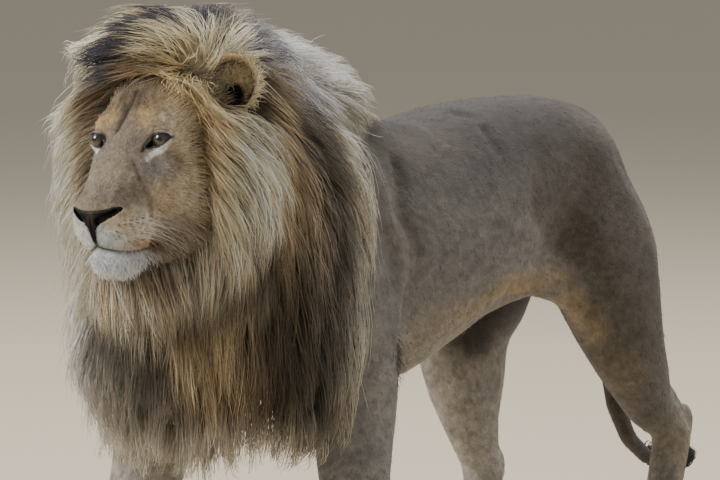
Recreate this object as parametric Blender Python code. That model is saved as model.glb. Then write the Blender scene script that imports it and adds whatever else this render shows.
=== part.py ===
"""An adult male lion, life size, standing in mid stride with its head up.

Metres, +Z up. The lion faces -Y and its left side is +X. The soles stand on z = 0 and the
origin lies under the middle of the whole animal. Bodies of flesh are built as rounded forms
along the bones, fused into one surface with a voxel remesh, thinned, and then parted with
thin cuts into the pieces that a person would name.
"""

import math

import bmesh
import bpy
import numpy as np
from mathutils import Matrix, Vector

# Driving dimensions, in metres.
GAP = 0.0005                 # width of every parting cut
BODY_VOXEL = 0.009
HEAD_VOXEL = 0.0045
MANE_VOXEL = 0.012
BODY_TRIANGLES = 2500
HEAD_TRIANGLES = 980
MANE_TRIANGLES = 1000
MANE_LINING_TRIANGLES = 400
MANE_LINING_GAP = 0.006      # how far the mane's inner face stands off the head
EYE_MIDDLE = Vector((0.030, -0.613, 1.0))   # midpoint between the eyeballs
HEAD_YAW = math.radians(6.0)              # the head turns a little to the lion's left
EYE_RADIUS = 0.019
EYE_SPREAD = 0.063                        # half the distance between the eyeballs
EAR_RADII = (0.048, 0.034, 0.054)         # across, front to back and up, of the whole ear
CM = 0.01

SKIN = {
    "coat": ((0.36, 0.27, 0.19), 0.85),
    "mane": ((0.20, 0.14, 0.09), 0.90),
    "eye": ((0.35, 0.22, 0.06), 0.15),
    "nose": ((0.05, 0.035, 0.03), 0.45),
    "tuft": ((0.02, 0.018, 0.018), 0.90),
}


def clear_scene():
    """Empty the scene of objects."""
    for thing in list(bpy.data.objects):
        bpy.data.objects.remove(thing)


def finish_named(name):
    """The Principled material of one finish."""
    material = bpy.data.materials.get(name) or bpy.data.materials.new(name)
    material.use_nodes = True
    shader = material.node_tree.nodes["Principled BSDF"]
    colour, roughness = SKIN[name]
    shader.inputs["Base Color"].default_value = (*colour, 1.0)
    shader.inputs["Roughness"].default_value = roughness
    shader.inputs["Metallic"].default_value = 0.0
    return material


def placed(mesh_name, mesh_tools):
    """A new object holding a bmesh."""
    mesh = bpy.data.meshes.new(mesh_name)
    mesh_tools.to_mesh(mesh)
    mesh_tools.free()
    thing = bpy.data.objects.new(mesh_name, mesh)
    bpy.context.scene.collection.objects.link(thing)
    return thing


def head_axes():
    """Forward, left and up of the head, as world directions."""
    forward = Vector((math.sin(HEAD_YAW), -math.cos(HEAD_YAW), 0.0))
    left = Vector((math.cos(HEAD_YAW), math.sin(HEAD_YAW), 0.0))
    return forward, left, Vector((0.0, 0.0, 1.0))


def in_head(forward_cm, left_cm, up_cm):
    """A point given in centimetres forward, left and up of the middle of the eyes."""
    forward, left, up = head_axes()
    return EYE_MIDDLE + CM * (forward * forward_cm + left * left_cm + up * up_cm)


def ball(name, centre, radii, turn=None, rings=20):
    """An ellipsoid with its radii along X, Y and Z, turned by a matrix about its centre."""
    tools = bmesh.new()
    bmesh.ops.create_uvsphere(tools, u_segments=rings + 4, v_segments=rings, radius=1.0)
    shape = Matrix.Diagonal((*radii, 1.0))
    turn = turn.to_4x4() if turn else Matrix.Identity(4)
    tools.transform(Matrix.Translation(centre) @ turn @ shape)
    return placed(name, tools)


def head_ball(name, centre_cm, radii_cm, pitch=0.0, rings=20):
    """An ellipsoid in the head, with radii forward, left and up, tipped nose down by pitch degrees."""
    radii = (radii_cm[1] * CM, radii_cm[0] * CM, radii_cm[2] * CM)
    turn = Matrix.Rotation(HEAD_YAW, 3, "Z") @ Matrix.Rotation(math.radians(pitch), 3, "X")
    return ball(name, in_head(*centre_cm), radii, turn, rings)


def limb(name, stations, segments=20, squareness=2.0):
    """A closed tube through stations of (centre, half width, half depth).

    Half width runs sideways along X. Half depth runs across the tube in the plane that holds
    the tube's own direction. The section is a superellipse: squareness 2 is an ellipse.
    """
    tools = bmesh.new()
    centres = [Vector(station[0]) for station in stations]
    loops = []
    for index, (_, half_width, half_depth) in enumerate(stations):
        before = centres[max(index - 1, 0)]
        after = centres[min(index + 1, len(centres) - 1)]
        along = (after - before).normalized()
        side = (Vector((1.0, 0.0, 0.0)) - along * along.x).normalized()
        across = along.cross(side)
        ring = []
        for step in range(segments):
            angle = math.tau * step / segments
            c, s = math.cos(angle), math.sin(angle)
            bulge = (abs(c) ** squareness + abs(s) ** squareness) ** (-1.0 / squareness)
            ring.append(tools.verts.new(
                centres[index] + side * (half_width * c * bulge) + across * (half_depth * s * bulge)))
        loops.append(ring)
    for lower, upper in zip(loops, loops[1:]):
        for step in range(segments):
            after = (step + 1) % segments
            tools.faces.new((lower[step], lower[after], upper[after], upper[step]))
    tools.faces.new(list(reversed(loops[0])))
    tools.faces.new(loops[-1])
    bmesh.ops.recalc_face_normals(tools, faces=tools.faces)
    return placed(name, tools)


def head_limb(name, stations_cm, squareness=2.0):
    """A tube in the head: stations of (forward, left, up), half width, half depth, all in centimetres."""
    stations = [(in_head(*centre), wide * CM, deep * CM) for centre, wide, deep in stations_cm]
    return limb(name, stations, squareness=squareness)


def evaluated_copy(thing):
    """A plain mesh of an object as its modifiers make it, at its place in the world."""
    graph = bpy.context.evaluated_depsgraph_get()
    mesh = bpy.data.meshes.new_from_object(thing.evaluated_get(graph))
    mesh.transform(thing.matrix_world)
    return mesh


def applied(thing):
    """The object with its modifiers applied and its place moved into its mesh."""
    mesh = evaluated_copy(thing)
    thing.modifiers.clear()
    thing.vertex_groups.clear()
    thing.data = mesh
    thing.matrix_world = Matrix.Identity(4)
    return thing


def soften(thing, iterations, weight=None):
    """Smooths a mesh, where weight(point) says how much, from 0 to 1."""
    smooth = thing.modifiers.new("soften", "SMOOTH")
    smooth.factor = 0.5
    smooth.iterations = iterations
    if weight:
        group = thing.vertex_groups.new(name="soft")
        for vertex in thing.data.vertices:
            group.add([vertex.index], weight(vertex.co), "REPLACE")
        smooth.vertex_group = group.name
    return applied(thing)


def fused(name, pieces, voxel, smoothing, triangles, broad=None):
    """One closed surface round all the pieces: voxel remesh, smoothing, then thinning.

    broad is an optional second smoothing, as its iterations and its weight function.
    """
    tools = bmesh.new()
    for piece in pieces:
        tools.from_mesh(piece.data)
        bpy.data.objects.remove(piece)
    whole = placed(name, tools)
    remesh = whole.modifiers.new("fuse", "REMESH")
    remesh.mode = "VOXEL"
    remesh.voxel_size = voxel
    soften(applied(whole), smoothing)
    if broad:
        soften(whole, *broad)
    thin = whole.modifiers.new("thin", "DECIMATE")
    thin.ratio = min(1.0, triangles / (2.0 * len(whole.data.polygons)))
    return applied(whole)


def grown(thing, distance):
    """A hidden copy of a solid, every face moved outwards."""
    copy = bpy.data.objects.new(thing.name + "_cutter", evaluated_copy(thing))
    bpy.context.scene.collection.objects.link(copy)
    swell = copy.modifiers.new("swell", "DISPLACE")
    swell.strength = distance
    swell.mid_level = 0.0
    copy.hide_render = True
    copy.display_type = "WIRE"
    return applied(copy)


def twin(thing):
    """A second copy of a cutter."""
    copy = bpy.data.objects.new(thing.name, thing.data.copy())
    bpy.context.scene.collection.objects.link(copy)
    return copy


def cut_from(thing, cutter, operation="DIFFERENCE"):
    """Applies a Boolean with one cutter and removes the cutter."""
    cut = thing.modifiers.new("cut", "BOOLEAN")
    cut.operation = operation
    cut.solver = "EXACT"
    cut.object = cutter
    applied(thing)
    bpy.data.objects.remove(cutter)
    return thing


def plate(centre, normal, half_across, half_along, sideways=(1.0, 0.0, 0.0)):
    """A thin plate, one gap thick, for parting a solid across a plane.

    half_across is its reach sideways, or as near to sideways as the plane allows, and
    half_along is its reach at right angles to that.
    """
    tools = bmesh.new()
    bmesh.ops.create_cube(tools, size=1.0)
    facing = Vector(normal).normalized()
    sideways = Vector(sideways)
    across = (sideways - facing * sideways.dot(facing)).normalized()
    turn = Matrix((across, facing.cross(across), facing)).transposed().to_4x4()
    size = Matrix.Diagonal((2 * half_across, 2 * half_along, GAP, 1.0))
    tools.transform(Matrix.Translation(centre) @ turn @ size)
    cutter = placed("plate_cutter", tools)
    cutter.hide_render = True
    return cutter


def parted(thing, cuts, seeds, finish):
    """Cuts a solid along thin plates, and names each body after the seed point nearest to it.

    Crumbs that no seed point names, left where two skins graze each other, are dropped.
    """
    for cut in cuts:
        cut_from(thing, plate(*cut))
    tools = bmesh.new()
    tools.from_mesh(thing.data)
    bpy.data.objects.remove(thing)
    bmesh.ops.remove_doubles(tools, verts=tools.verts, dist=1e-6)
    islands, seen = [], set()
    for start in tools.verts:
        if start in seen:
            continue
        island, front = {start}, [start]
        while front:
            for edge in front.pop().link_edges:
                for vert in edge.verts:
                    if vert not in island:
                        island.add(vert)
                        front.append(vert)
        seen |= island
        islands.append(island)
    named = {}
    for name, seed in seeds.items():
        nearest = min(islands, key=lambda island: min((v.co - Vector(seed)).length for v in island))
        named[name] = nearest
    nodes = []
    for name, island in named.items():
        body = tools.copy()
        body.verts.ensure_lookup_table()
        tools.verts.index_update()
        kept = {vert.index for vert in island}
        doomed = [vert for index, vert in enumerate(body.verts) if index not in kept]
        bmesh.ops.delete(body, geom=doomed, context="VERTS")
        node = placed(name, body)
        dress(node, finish)
        nodes.append(node)
    tools.free()
    return nodes


def dress(node, finish):
    """Gives a node its one material and smooth shading."""
    node.data.materials.clear()
    node.data.materials.append(finish_named(finish))
    node.data.shade_smooth()
    node.data.set_sharp_from_angle(angle=math.radians(50.0))


# ---------------------------------------------------------------- body

def trunk_forms():
    """Chest, barrel, loin and rump as one deep tube, with shoulder blades and haunches."""
    barrel = (          # y, middle height, half width, half height
        (-0.42, 0.735, 0.085, 0.110),
        (-0.35, 0.755, 0.150, 0.190),
        (-0.22, 0.775, 0.185, 0.250),
        (-0.06, 0.783, 0.198, 0.250),
        (0.08, 0.772, 0.200, 0.226),
        (0.22, 0.788, 0.196, 0.208),
        (0.36, 0.822, 0.180, 0.195),
        (0.48, 0.847, 0.160, 0.170),
        (0.60, 0.862, 0.150, 0.150),
        (0.72, 0.860, 0.138, 0.140),
        (0.79, 0.845, 0.102, 0.120),
        (0.84, 0.835, 0.060, 0.080),
    )
    pieces = [limb("barrel", [((0.0, y, z), w, h) for y, z, w, h in barrel], segments=28, squareness=2.15)]
    for side in (1.0, -1.0):
        pieces.append(ball("blade", (side * 0.120, -0.16, 0.83), (0.085, 0.125, 0.185)))
        pieces.append(ball("haunch", (side * 0.094, 0.645, 0.80), (0.086, 0.150, 0.180)))
    return pieces


def fore_leg(side, elbow_y, wrist_y, paw_y):
    """Upper arm, forearm, wrist and paw of one foreleg, and its four toes."""
    x = side * 0.150
    rings = [
        ((side * 0.135, elbow_y - 0.115, 0.790), 0.080, 0.120),
        ((side * 0.148, elbow_y - 0.085, 0.700), 0.082, 0.128),
        ((x, elbow_y - 0.050, 0.610), 0.074, 0.108),
        ((x, elbow_y - 0.045, 0.530), 0.069, 0.095),
        ((x, elbow_y - 0.050, 0.440), 0.064, 0.082),
        ((x, (elbow_y - 0.045 + wrist_y) / 2, 0.320), 0.055, 0.062),
        ((x, wrist_y, 0.200), 0.047, 0.048),
        ((x, wrist_y - 0.004, 0.150), 0.051, 0.050),
        ((x, wrist_y - 0.018, 0.105), 0.053, 0.047),
        ((x, wrist_y - 0.042, 0.065), 0.058, 0.045),
    ]
    pieces = [limb("fore_leg", rings)]
    pieces += paw(x, paw_y, wide=0.066, long=0.085, heel_y=wrist_y - 0.03)
    return pieces


def paw(x, toe_y, wide, long, heel_y):
    """A broad pad with four rounded toes in an arc ahead of it."""
    middle_y = toe_y + long * 0.70
    pieces = [ball("pad", (x, middle_y, 0.030), (wide * 0.92, long * 0.72, 0.036))]
    pieces.append(ball("heel", (x, (middle_y + heel_y) / 2 + 0.012, 0.040), (wide * 0.78, long * 0.60, 0.043)))
    for place, reach in ((-1.0, 0.55), (-0.36, 1.0), (0.36, 1.0), (1.0, 0.55)):
        toe_x = x + place * wide * 0.66
        toe_middle_y = toe_y + 0.030 + (1.0 - reach) * 0.042
        pieces.append(ball("toe", (toe_x, toe_middle_y, 0.026), (0.0195, 0.034, 0.029)))
        pieces.append(ball("knuckle", (toe_x * 0.96 + x * 0.04, toe_middle_y + 0.030, 0.044),
                           (0.0205, 0.030, 0.024)))
    return pieces


def hind_leg(side, knee, hock, ball_of_foot):
    """Thigh, shank, hock and long foot of one hind leg, each joint given as (y, z)."""
    x = side * 0.128
    knee_y, knee_z = knee
    hock_y, hock_z = hock
    foot_y, foot_z = ball_of_foot
    shank = lambda share, back: (x, knee_y + (hock_y - knee_y) * share + back, knee_z + (hock_z - knee_z) * share)
    rings = [
        ((side * 0.100, 0.675, 0.840), 0.078, 0.135),
        ((side * 0.114, 0.668, 0.760), 0.088, 0.162),
        ((side * 0.124, 0.35 * knee_y + 0.65 * 0.690, 0.680), 0.086, 0.160),
        ((side * 0.130, 0.68 * knee_y + 0.32 * 0.715, 0.600), 0.078, 0.138),
        ((side * 0.134, knee_y + 0.042, knee_z + 0.005), 0.068, 0.106),
        (shank(0.30, 0.022), 0.060, 0.086),
        (shank(0.62, 0.004), 0.047, 0.056),
        (shank(0.88, 0.004), 0.038, 0.044),
        ((x, hock_y + 0.004, hock_z - 0.012), 0.038, 0.052),
        ((x, hock_y * 0.75 + foot_y * 0.25, hock_z * 0.75 + foot_z * 0.25 - 0.01), 0.037, 0.047),
        ((x, hock_y * 0.45 + foot_y * 0.55, hock_z * 0.45 + foot_z * 0.55), 0.037, 0.038),
        ((x, foot_y + 0.004, foot_z + 0.030), 0.043, 0.037),
        ((x, foot_y - 0.030, foot_z - 0.002), 0.050, 0.034),
    ]
    heel = ball("hock_point", (x, hock_y + 0.046, hock_z + 0.012), (0.024, 0.026, 0.044))
    tendon = limb("tendon", [
        ((x, hock_y + 0.050, hock_z + 0.010), 0.017, 0.017),
        ((x, hock_y * 0.55 + knee_y * 0.45 + 0.062, hock_z * 0.55 + knee_z * 0.45 + 0.030), 0.019, 0.022),
        (shank(0.22, 0.085), 0.030, 0.034),
    ], segments=12)
    pieces = [limb("hind_leg", rings), heel, tendon]
    pieces += paw(x, foot_y - 0.110, wide=0.058, long=0.080, heel_y=foot_y)
    return pieces


TAIL_ROUTE = (      # y, z, radius
    (0.760, 0.940, 0.050),
    (0.835, 0.922, 0.046),
    (0.895, 0.880, 0.037),
    (0.928, 0.800, 0.028),
    (0.925, 0.690, 0.023),
    (0.905, 0.580, 0.021),
    (0.900, 0.480, 0.019),
    (0.925, 0.390, 0.0175),
    (0.975, 0.318, 0.016),
    (1.040, 0.275, 0.015),
)
TUFT_ROUTE = (
    (1.036, 0.277, 0.016),
    (1.090, 0.256, 0.026),
    (1.150, 0.250, 0.036),
    (1.200, 0.256, 0.030),
    (1.245, 0.262, 0.010),
)


def tail_tube(name, route):
    """The tail in the middle plane, as a tube through (y, z, radius)."""
    return limb(name, [((0.0, y, z), r, r) for y, z, r in route], segments=14)


def body_solid():
    """Trunk, legs and tail as one closed surface with flat soles at z = 0."""
    pieces = trunk_forms()
    pieces += fore_leg(1.0, elbow_y=-0.112, wrist_y=-0.160, paw_y=-0.300)
    pieces += fore_leg(-1.0, elbow_y=-0.290, wrist_y=-0.435, paw_y=-0.575)
    pieces += hind_leg(1.0, knee=(0.705, 0.505), hock=(0.925, 0.350), ball_of_foot=(0.850, 0.050))
    pieces += hind_leg(-1.0, knee=(0.510, 0.535), hock=(0.650, 0.275), ball_of_foot=(0.570, 0.050))
    pieces.append(tail_tube("tail", TAIL_ROUTE))
    whole = fused("body", pieces, BODY_VOXEL, 5, BODY_TRIANGLES, broad=(45, muscle_softness))
    return level_soles(whole)


def muscle_softness(point):
    """Broad smoothing over the trunk and upper legs, and none on the tail, shanks and paws."""
    if point.y > 0.87 and abs(point.x) < 0.06:
        return 0.0
    return min(1.0, max(0.0, (point.z - 0.42) / 0.16))


def level_soles(whole):
    """Trims everything below the floor, which leaves a small flat under each foot."""
    tools = bmesh.new()
    bmesh.ops.create_cube(tools, size=1.0)
    tools.transform(Matrix.Translation((0.0, 0.3, -0.5)) @ Matrix.Diagonal((4.0, 4.0, 1.0, 1.0)))
    return cut_from(whole, placed("ground_cutter", tools))


# ---------------------------------------------------------------- head

HEAD_HEART = (-3.0, 0.0, -7.0)      # the point, in centimetres, that sees the whole surface of the head
HEAD_BLEND = 0.95                   # centimetres over which two forms of the head melt together

# Centre forward, left, up; radii forward, left, up; nose-down pitch in degrees. Centimetres.
MIDDLE_FORMS = (
    ((-11.0, 0.0, 2.0), (11.0, 8.6, 9.8), 0.0),         # cranium
    ((-5.8, 0.0, 4.4), (5.7, 7.2, 6.8), -14.0),         # forehead
    ((8.6, 0.0, -12.2), (2.6, 4.2, 2.4), 0.0),          # tip of the nose
    ((5.4, 0.0, -18.8), (3.9, 3.7, 2.7), 0.0),          # chin
    ((-5.0, 0.0, -13.0), (8.0, 7.0, 7.0), 0.0),         # throat
)
PAIRED_FORMS = (
    ((6.8, 2.8, -13.8), (3.7, 2.6, 2.6), 0.0),          # upper lip by the middle
    ((3.6, 3.7, -13.0), (5.2, 2.4, 3.9), 0.0),          # whisker pad
    ((1.0, 4.0, -8.0), (5.0, 2.7, 5.0), 0.0),           # flank of the muzzle
    ((-6.0, 5.4, -8.2), (6.4, 4.2, 7.6), 0.0),          # masseter
    ((-2.8, 5.6, -4.2), (4.2, 3.4, 3.8), 0.0),          # cheekbone
    ((-2.6, 5.2, 0.0), (3.0, 3.4, 3.2), 0.0),           # rim of the eye socket
    ((-2.0, 4.7, 2.9), (3.0, 2.9, 1.9), 0.0),           # brow
)
# Two ends of (forward, left, up), then half width and half depth at each end. Centimetres.
MIDDLE_TUBES = (
    ((-1.5, 0.0, 1.2), (2.6, 0.0, -3.2), (3.4, 2.2), (3.7, 2.3)),     # root of the nose
    ((2.6, 0.0, -3.2), (8.6, 0.0, -10.0), (3.7, 2.3), (3.8, 2.3)),    # bridge of the nose
)
PAIRED_TUBES = (
    ((5.0, 2.0, -18.8), (-1.0, 4.4, -16.8), (2.0, 2.1), (2.8, 3.0)),    # front of the mandible
    ((-1.0, 4.4, -16.8), (-8.5, 6.4, -12.0), (2.8, 3.0), (3.4, 4.4)),   # angle of the mandible
)


def ellipsoid_distance(points, centre, radii, pitch):
    """How far points lie outside an ellipsoid, near enough, in centimetres."""
    turn = math.radians(pitch)
    local = points - np.array(centre)
    forward = local[:, 0] * math.cos(turn) - local[:, 2] * math.sin(turn)
    upward = local[:, 0] * math.sin(turn) + local[:, 2] * math.cos(turn)
    local = np.stack([forward, local[:, 1], upward], axis=1)
    scaled = np.linalg.norm(local / np.array(radii), axis=1)
    steep = np.linalg.norm(local / np.array(radii) ** 2, axis=1)
    return scaled * (scaled - 1.0) / np.maximum(steep, 1e-6)


def tube_distance(points, start, end, size_start, size_end):
    """How far points lie outside a tapering tube with an oval section, in centimetres."""
    start, end = np.array(start), np.array(end)
    along = end - start
    share = np.clip((points - start) @ along / (along @ along), 0.0, 1.0)
    local = points - start - share[:, None] * along
    wide = size_start[0] + (size_end[0] - size_start[0]) * share
    deep = size_start[1] + (size_end[1] - size_start[1]) * share
    local[:, 1] *= deep / wide
    return np.linalg.norm(local, axis=1) - deep


def head_distance(points):
    """The whole head as one smooth field: negative inside, in centimetres."""
    mirrored = points * np.array([1.0, -1.0, 1.0])
    parts = [ellipsoid_distance(points, *form) for form in MIDDLE_FORMS]
    parts += [tube_distance(points, *tube) for tube in MIDDLE_TUBES]
    for side in (points, mirrored):
        parts += [ellipsoid_distance(side, *form) for form in PAIRED_FORMS]
        parts += [tube_distance(side, *tube) for tube in PAIRED_TUBES]
    parts = np.stack(parts)
    nearest = parts.min(axis=0)
    return nearest - HEAD_BLEND * np.log(np.exp((nearest - parts) / HEAD_BLEND).sum(axis=0))


def head_surface(name, subdivisions):
    """A ball of triangles, each corner drawn in along its ray until it meets the head's field."""
    tools = bmesh.new()
    bmesh.ops.create_icosphere(tools, subdivisions=subdivisions, radius=1.0)
    rays = np.array([vertex.co[:] for vertex in tools.verts])
    heart = np.array(HEAD_HEART)
    outer, inner = np.full(len(rays), 32.0), np.zeros(len(rays))
    for reach in np.linspace(32.0, 1.0, 63):
        solid = head_distance(heart + rays * reach) < 0.0
        first = solid & (inner == 0.0)
        inner[first], outer[first] = reach, reach + 0.5
    for _ in range(10):
        middle = 0.5 * (inner + outer)
        solid = head_distance(heart + rays * middle[:, None]) < 0.0
        inner, outer = np.where(solid, middle, inner), np.where(solid, outer, middle)
    for vertex, ray, reach in zip(tools.verts, rays, inner):
        vertex.co = in_head(*(heart + ray * reach))
    bmesh.ops.recalc_face_normals(tools, faces=tools.faces)
    return placed(name, tools)


def eye_centre(side):
    """The middle of one eyeball."""
    return in_head(0.0, side * EYE_SPREAD / CM, 0.0)


def thinned(thing, triangles):
    """The same surface with fewer triangles."""
    thin = thing.modifiers.new("thin", "DECIMATE")
    thin.ratio = min(1.0, triangles / sum(len(face.vertices) - 2 for face in thing.data.polygons))
    return applied(thing)


def head_nodes():
    """Skull with upper jaw, lower jaw, nose leather and eyeballs, and a cutter in the head's shape."""
    skull = thinned(head_surface("skull", 6), HEAD_TRIANGLES)
    cutter = grown(skull, GAP)
    for side in (1.0, -1.0):
        cut_from(skull, ball("socket", eye_centre(side), (EYE_RADIUS + GAP,) * 3, rings=9))
    nose = head_ball("nose", (10.6, 0.0, -11.4), (1.6, 4.7, 2.3), pitch=10.0, rings=11)
    cut_from(nose, twin(cutter))
    dress(nose, "nose")
    forward, left, up = head_axes()
    parted(
        skull,
        [
            (in_head(7.9, 0.0, -16.9), up, 0.12, 0.10, left),
            (in_head(-2.0, 0.0, -26.8), forward, 0.12, 0.10, left),
        ],
        {"head": in_head(-4.0, 0.0, 12.0), "lower_jaw": in_head(5.0, 0.0, -22.5)},
        "coat",
    )
    for side, name in ((1.0, "eye_left"), (-1.0, "eye_right")):
        eye = ball(name, eye_centre(side), (EYE_RADIUS,) * 3, rings=9)
        dress(eye, "eye")
    return cutter


# ---------------------------------------------------------------- ears, mane and parting

def ear_frame(side):
    """The middle of one ear and the turn that takes Y to the way its cup opens."""
    forward, left, up = head_axes()
    opening = (forward * 0.82 + left * side * 0.55 + up * 0.10).normalized()
    return in_head(-12.0, side * 11.8, 8.7), opening, opening.to_track_quat("Y", "Z").to_matrix()


def ear_solid(side):
    """A round cup ear: an ellipsoid hollowed from the side that it opens to."""
    centre, opening, turn = ear_frame(side)
    ear = ball("ear_left" if side > 0 else "ear_right", centre, EAR_RADII, turn, rings=8)
    hollow = ball("ear_hollow", centre + opening * 0.029, (0.040, 0.040, 0.045), turn, rings=7)
    return cut_from(ear, hollow)


def mane_forms():
    """Crown, forelock, cheeks, neck, nape, chest and shoulder cape of the mane."""
    pieces = [
        head_ball("crown", (-14.5, -1.5, 4.0), (12.5, 19.5, 16.5)),
        head_ball("crest", (-21.0, 2.0, 7.0), (13.0, 14.5, 14.5)),
        head_ball("forelock", (-4.5, -3.5, 15.5), (7.5, 13.5, 6.0)),
        head_ball("parting", (-11.0, -1.5, 12.5), (10.0, 14.5, 8.5)),
        head_ball("beard", (-2.5, 0.0, -25.0), (8.0, 10.0, 8.0)),
        ball("neck_hair", (0.0, -0.30, 0.90), (0.235, 0.27, 0.22)),
        ball("nape_hair", (0.0, -0.12, 1.01), (0.13, 0.15, 0.12)),
        ball("neck_crest", (0.0, -0.27, 1.06), (0.14, 0.17, 0.12)),
        ball("chest_hair", (-0.01, -0.43, 0.67), (0.215, 0.20, 0.225)),
    ]
    for side in (1.0, -1.0):
        pieces.append(head_ball("cheek_hair", (-11.0, side * 12.5, -9.0), (8.5, 9.5, 18.0)))
        pieces.append(ball("cape", (side * 0.125, -0.250, 0.77), (0.12, 0.165, 0.27)))
    pieces.append(ball("elbow_hair", (0.120, -0.28, 0.62), (0.11, 0.14, 0.16)))
    pieces.append(ball("elbow_hair", (-0.130, -0.36, 0.64), (0.115, 0.15, 0.18)))
    return pieces


def leg_cuts(side, elbow_y, wrist_y, knee, hock):
    """The plates that part one pair of legs from the trunk and into lengths, each place as (y, z)."""
    x = side * 0.138
    return [
        ((x, elbow_y - 0.05, 0.535), (0.0, 0.0, 1.0), 0.10, 0.14),
        ((x, wrist_y, 0.135), (0.0, 0.0, 1.0), 0.10, 0.12),
        ((side * 0.125, 0.5 * knee[0] + 0.375, 0.645), (0.0, 0.0, 1.0), 0.118, 0.220),
        ((x, knee[0] + 0.03, knee[1] - 0.015), (0.0, 0.0, 1.0), 0.10, 0.22),
        ((x, hock[0], hock[1] - 0.075), (0.0, -0.1, 1.0), 0.10, 0.09),
    ]


def centre_over_origin():
    """Moves every node so that the middle of the whole animal lies over the origin."""
    nodes = [thing for thing in bpy.context.scene.objects if thing.type == "MESH"]
    corners = np.array([corner[:] for node in nodes for corner in node.bound_box])
    middle = 0.5 * (corners.min(axis=0) + corners.max(axis=0))
    for node in nodes:
        node.data.transform(Matrix.Translation((-middle[0], -middle[1], 0.0)))


def main():
    """Builds every node."""
    clear_scene()
    head_cutter = head_nodes()
    lining = thinned(twin(head_cutter), MANE_LINING_TRIANGLES)
    broad_cutter = grown(lining, MANE_LINING_GAP)
    bpy.data.objects.remove(lining)
    mane = fused("mane", mane_forms(), MANE_VOXEL, 24, MANE_TRIANGLES)
    for side in (1.0, -1.0):
        ear = cut_from(ear_solid(side), twin(head_cutter))
        dress(ear, "coat")
        centre, opening, turn = ear_frame(side)
        cut_from(mane, ball("ear_seat", centre, [radius + GAP for radius in EAR_RADII], turn, rings=8))
        cut_from(mane, ball("ear_pocket", centre + opening * 0.046, (0.041, 0.060, 0.046), turn, rings=7))
    cut_from(mane, broad_cutter)
    bpy.data.objects.remove(head_cutter)
    body = body_solid()
    cut_from(body, grown(mane, GAP))
    cuts = leg_cuts(1.0, -0.112, -0.160, (0.705, 0.505), (0.925, 0.350))
    cuts += leg_cuts(-1.0, -0.290, -0.435, (0.510, 0.535), (0.650, 0.275))
    cuts += [
        ((0.0, 0.900, 0.875), (0.0, 0.9, -0.45), 0.07, 0.07),
        ((0.0, 0.900, 0.500), (0.0, 0.0, 1.0), 0.05, 0.05),
    ]
    parted(body, cuts, {
        "trunk": (0.0, 0.3, 1.0),
        "foreleg_left": (0.15, -0.14, 0.40),
        "forepaw_left": (0.15, -0.22, 0.03),
        "foreleg_right": (-0.15, -0.35, 0.40),
        "forepaw_right": (-0.15, -0.50, 0.03),
        "thigh_left": (0.20, 0.72, 0.60),
        "shank_left": (0.128, 0.85, 0.38),
        "hindpaw_left": (0.128, 0.80, 0.03),
        "thigh_right": (-0.20, 0.62, 0.62),
        "shank_right": (-0.128, 0.62, 0.38),
        "hindpaw_right": (-0.128, 0.55, 0.03),
        "tail_base": (0.0, 0.93, 0.70),
        "tail_end": (0.0, 0.95, 0.35),
    }, "coat")
    tuft = tail_tube("tail_tuft", TUFT_ROUTE)
    cut_from(tuft, grown(bpy.data.objects["tail_end"], GAP))
    dress(tuft, "tuft")
    parted(mane, [
        ((0.0, -0.30, 1.02), (0.0, 0.0, 1.0), 0.5, 0.6),
        ((0.0, -0.30, 0.74), (0.0, 0.0, 1.0), 0.5, 0.6),
        ((0.0, -0.30, 0.88), (1.0, 0.0, 0.0), 0.6, 0.1402, (0.0, 1.0, 0.0)),
    ], {
        "mane_crown": (0.0, -0.50, 1.20),
        "neck_mane_left": (0.25, -0.30, 0.90),
        "neck_mane_right": (-0.25, -0.30, 0.90),
        "mane_chest": (0.0, -0.45, 0.50),
    }, "mane")
    centre_over_origin()


main()
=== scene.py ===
"""A life-size male lion in mid stride: skin, eyes, nose, claws, whiskers, mane and short fur.

Everything is worked out in the lion's own space, in metres, with the lion facing -Y and its
left at +X. The head is laid out in centimetres forward, left and up of the middle of the eyes.
"""
from __future__ import annotations

import functools
import logging
import math
from collections.abc import Callable
from dataclasses import dataclass, field
from enum import Enum
from math import pi, radians, tau

import bpy
import numpy as np
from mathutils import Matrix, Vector
from numpy import (arange, arctan2, array, clip, concatenate, cos, cross, exp,
         hypot, interp, linspace, maximum, minimum, ones, sin, zeros)


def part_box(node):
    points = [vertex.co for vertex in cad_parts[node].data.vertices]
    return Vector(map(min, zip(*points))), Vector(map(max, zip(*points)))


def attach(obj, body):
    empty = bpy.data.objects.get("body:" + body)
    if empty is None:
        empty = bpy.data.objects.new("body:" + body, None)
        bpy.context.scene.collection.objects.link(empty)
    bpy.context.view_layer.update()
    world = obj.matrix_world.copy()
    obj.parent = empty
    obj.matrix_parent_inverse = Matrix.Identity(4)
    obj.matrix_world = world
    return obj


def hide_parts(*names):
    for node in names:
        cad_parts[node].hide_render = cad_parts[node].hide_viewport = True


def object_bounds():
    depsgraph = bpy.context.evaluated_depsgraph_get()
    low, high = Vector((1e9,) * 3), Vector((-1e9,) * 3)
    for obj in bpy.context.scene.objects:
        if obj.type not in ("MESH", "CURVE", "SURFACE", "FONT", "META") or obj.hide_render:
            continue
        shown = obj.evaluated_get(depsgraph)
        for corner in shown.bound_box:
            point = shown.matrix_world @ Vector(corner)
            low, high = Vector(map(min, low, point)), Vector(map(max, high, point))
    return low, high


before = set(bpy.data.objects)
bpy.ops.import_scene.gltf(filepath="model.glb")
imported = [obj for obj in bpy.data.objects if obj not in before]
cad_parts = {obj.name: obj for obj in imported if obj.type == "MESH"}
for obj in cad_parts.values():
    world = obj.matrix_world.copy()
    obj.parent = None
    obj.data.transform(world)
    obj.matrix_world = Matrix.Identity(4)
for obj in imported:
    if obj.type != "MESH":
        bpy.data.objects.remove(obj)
CAD_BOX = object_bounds()

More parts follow.
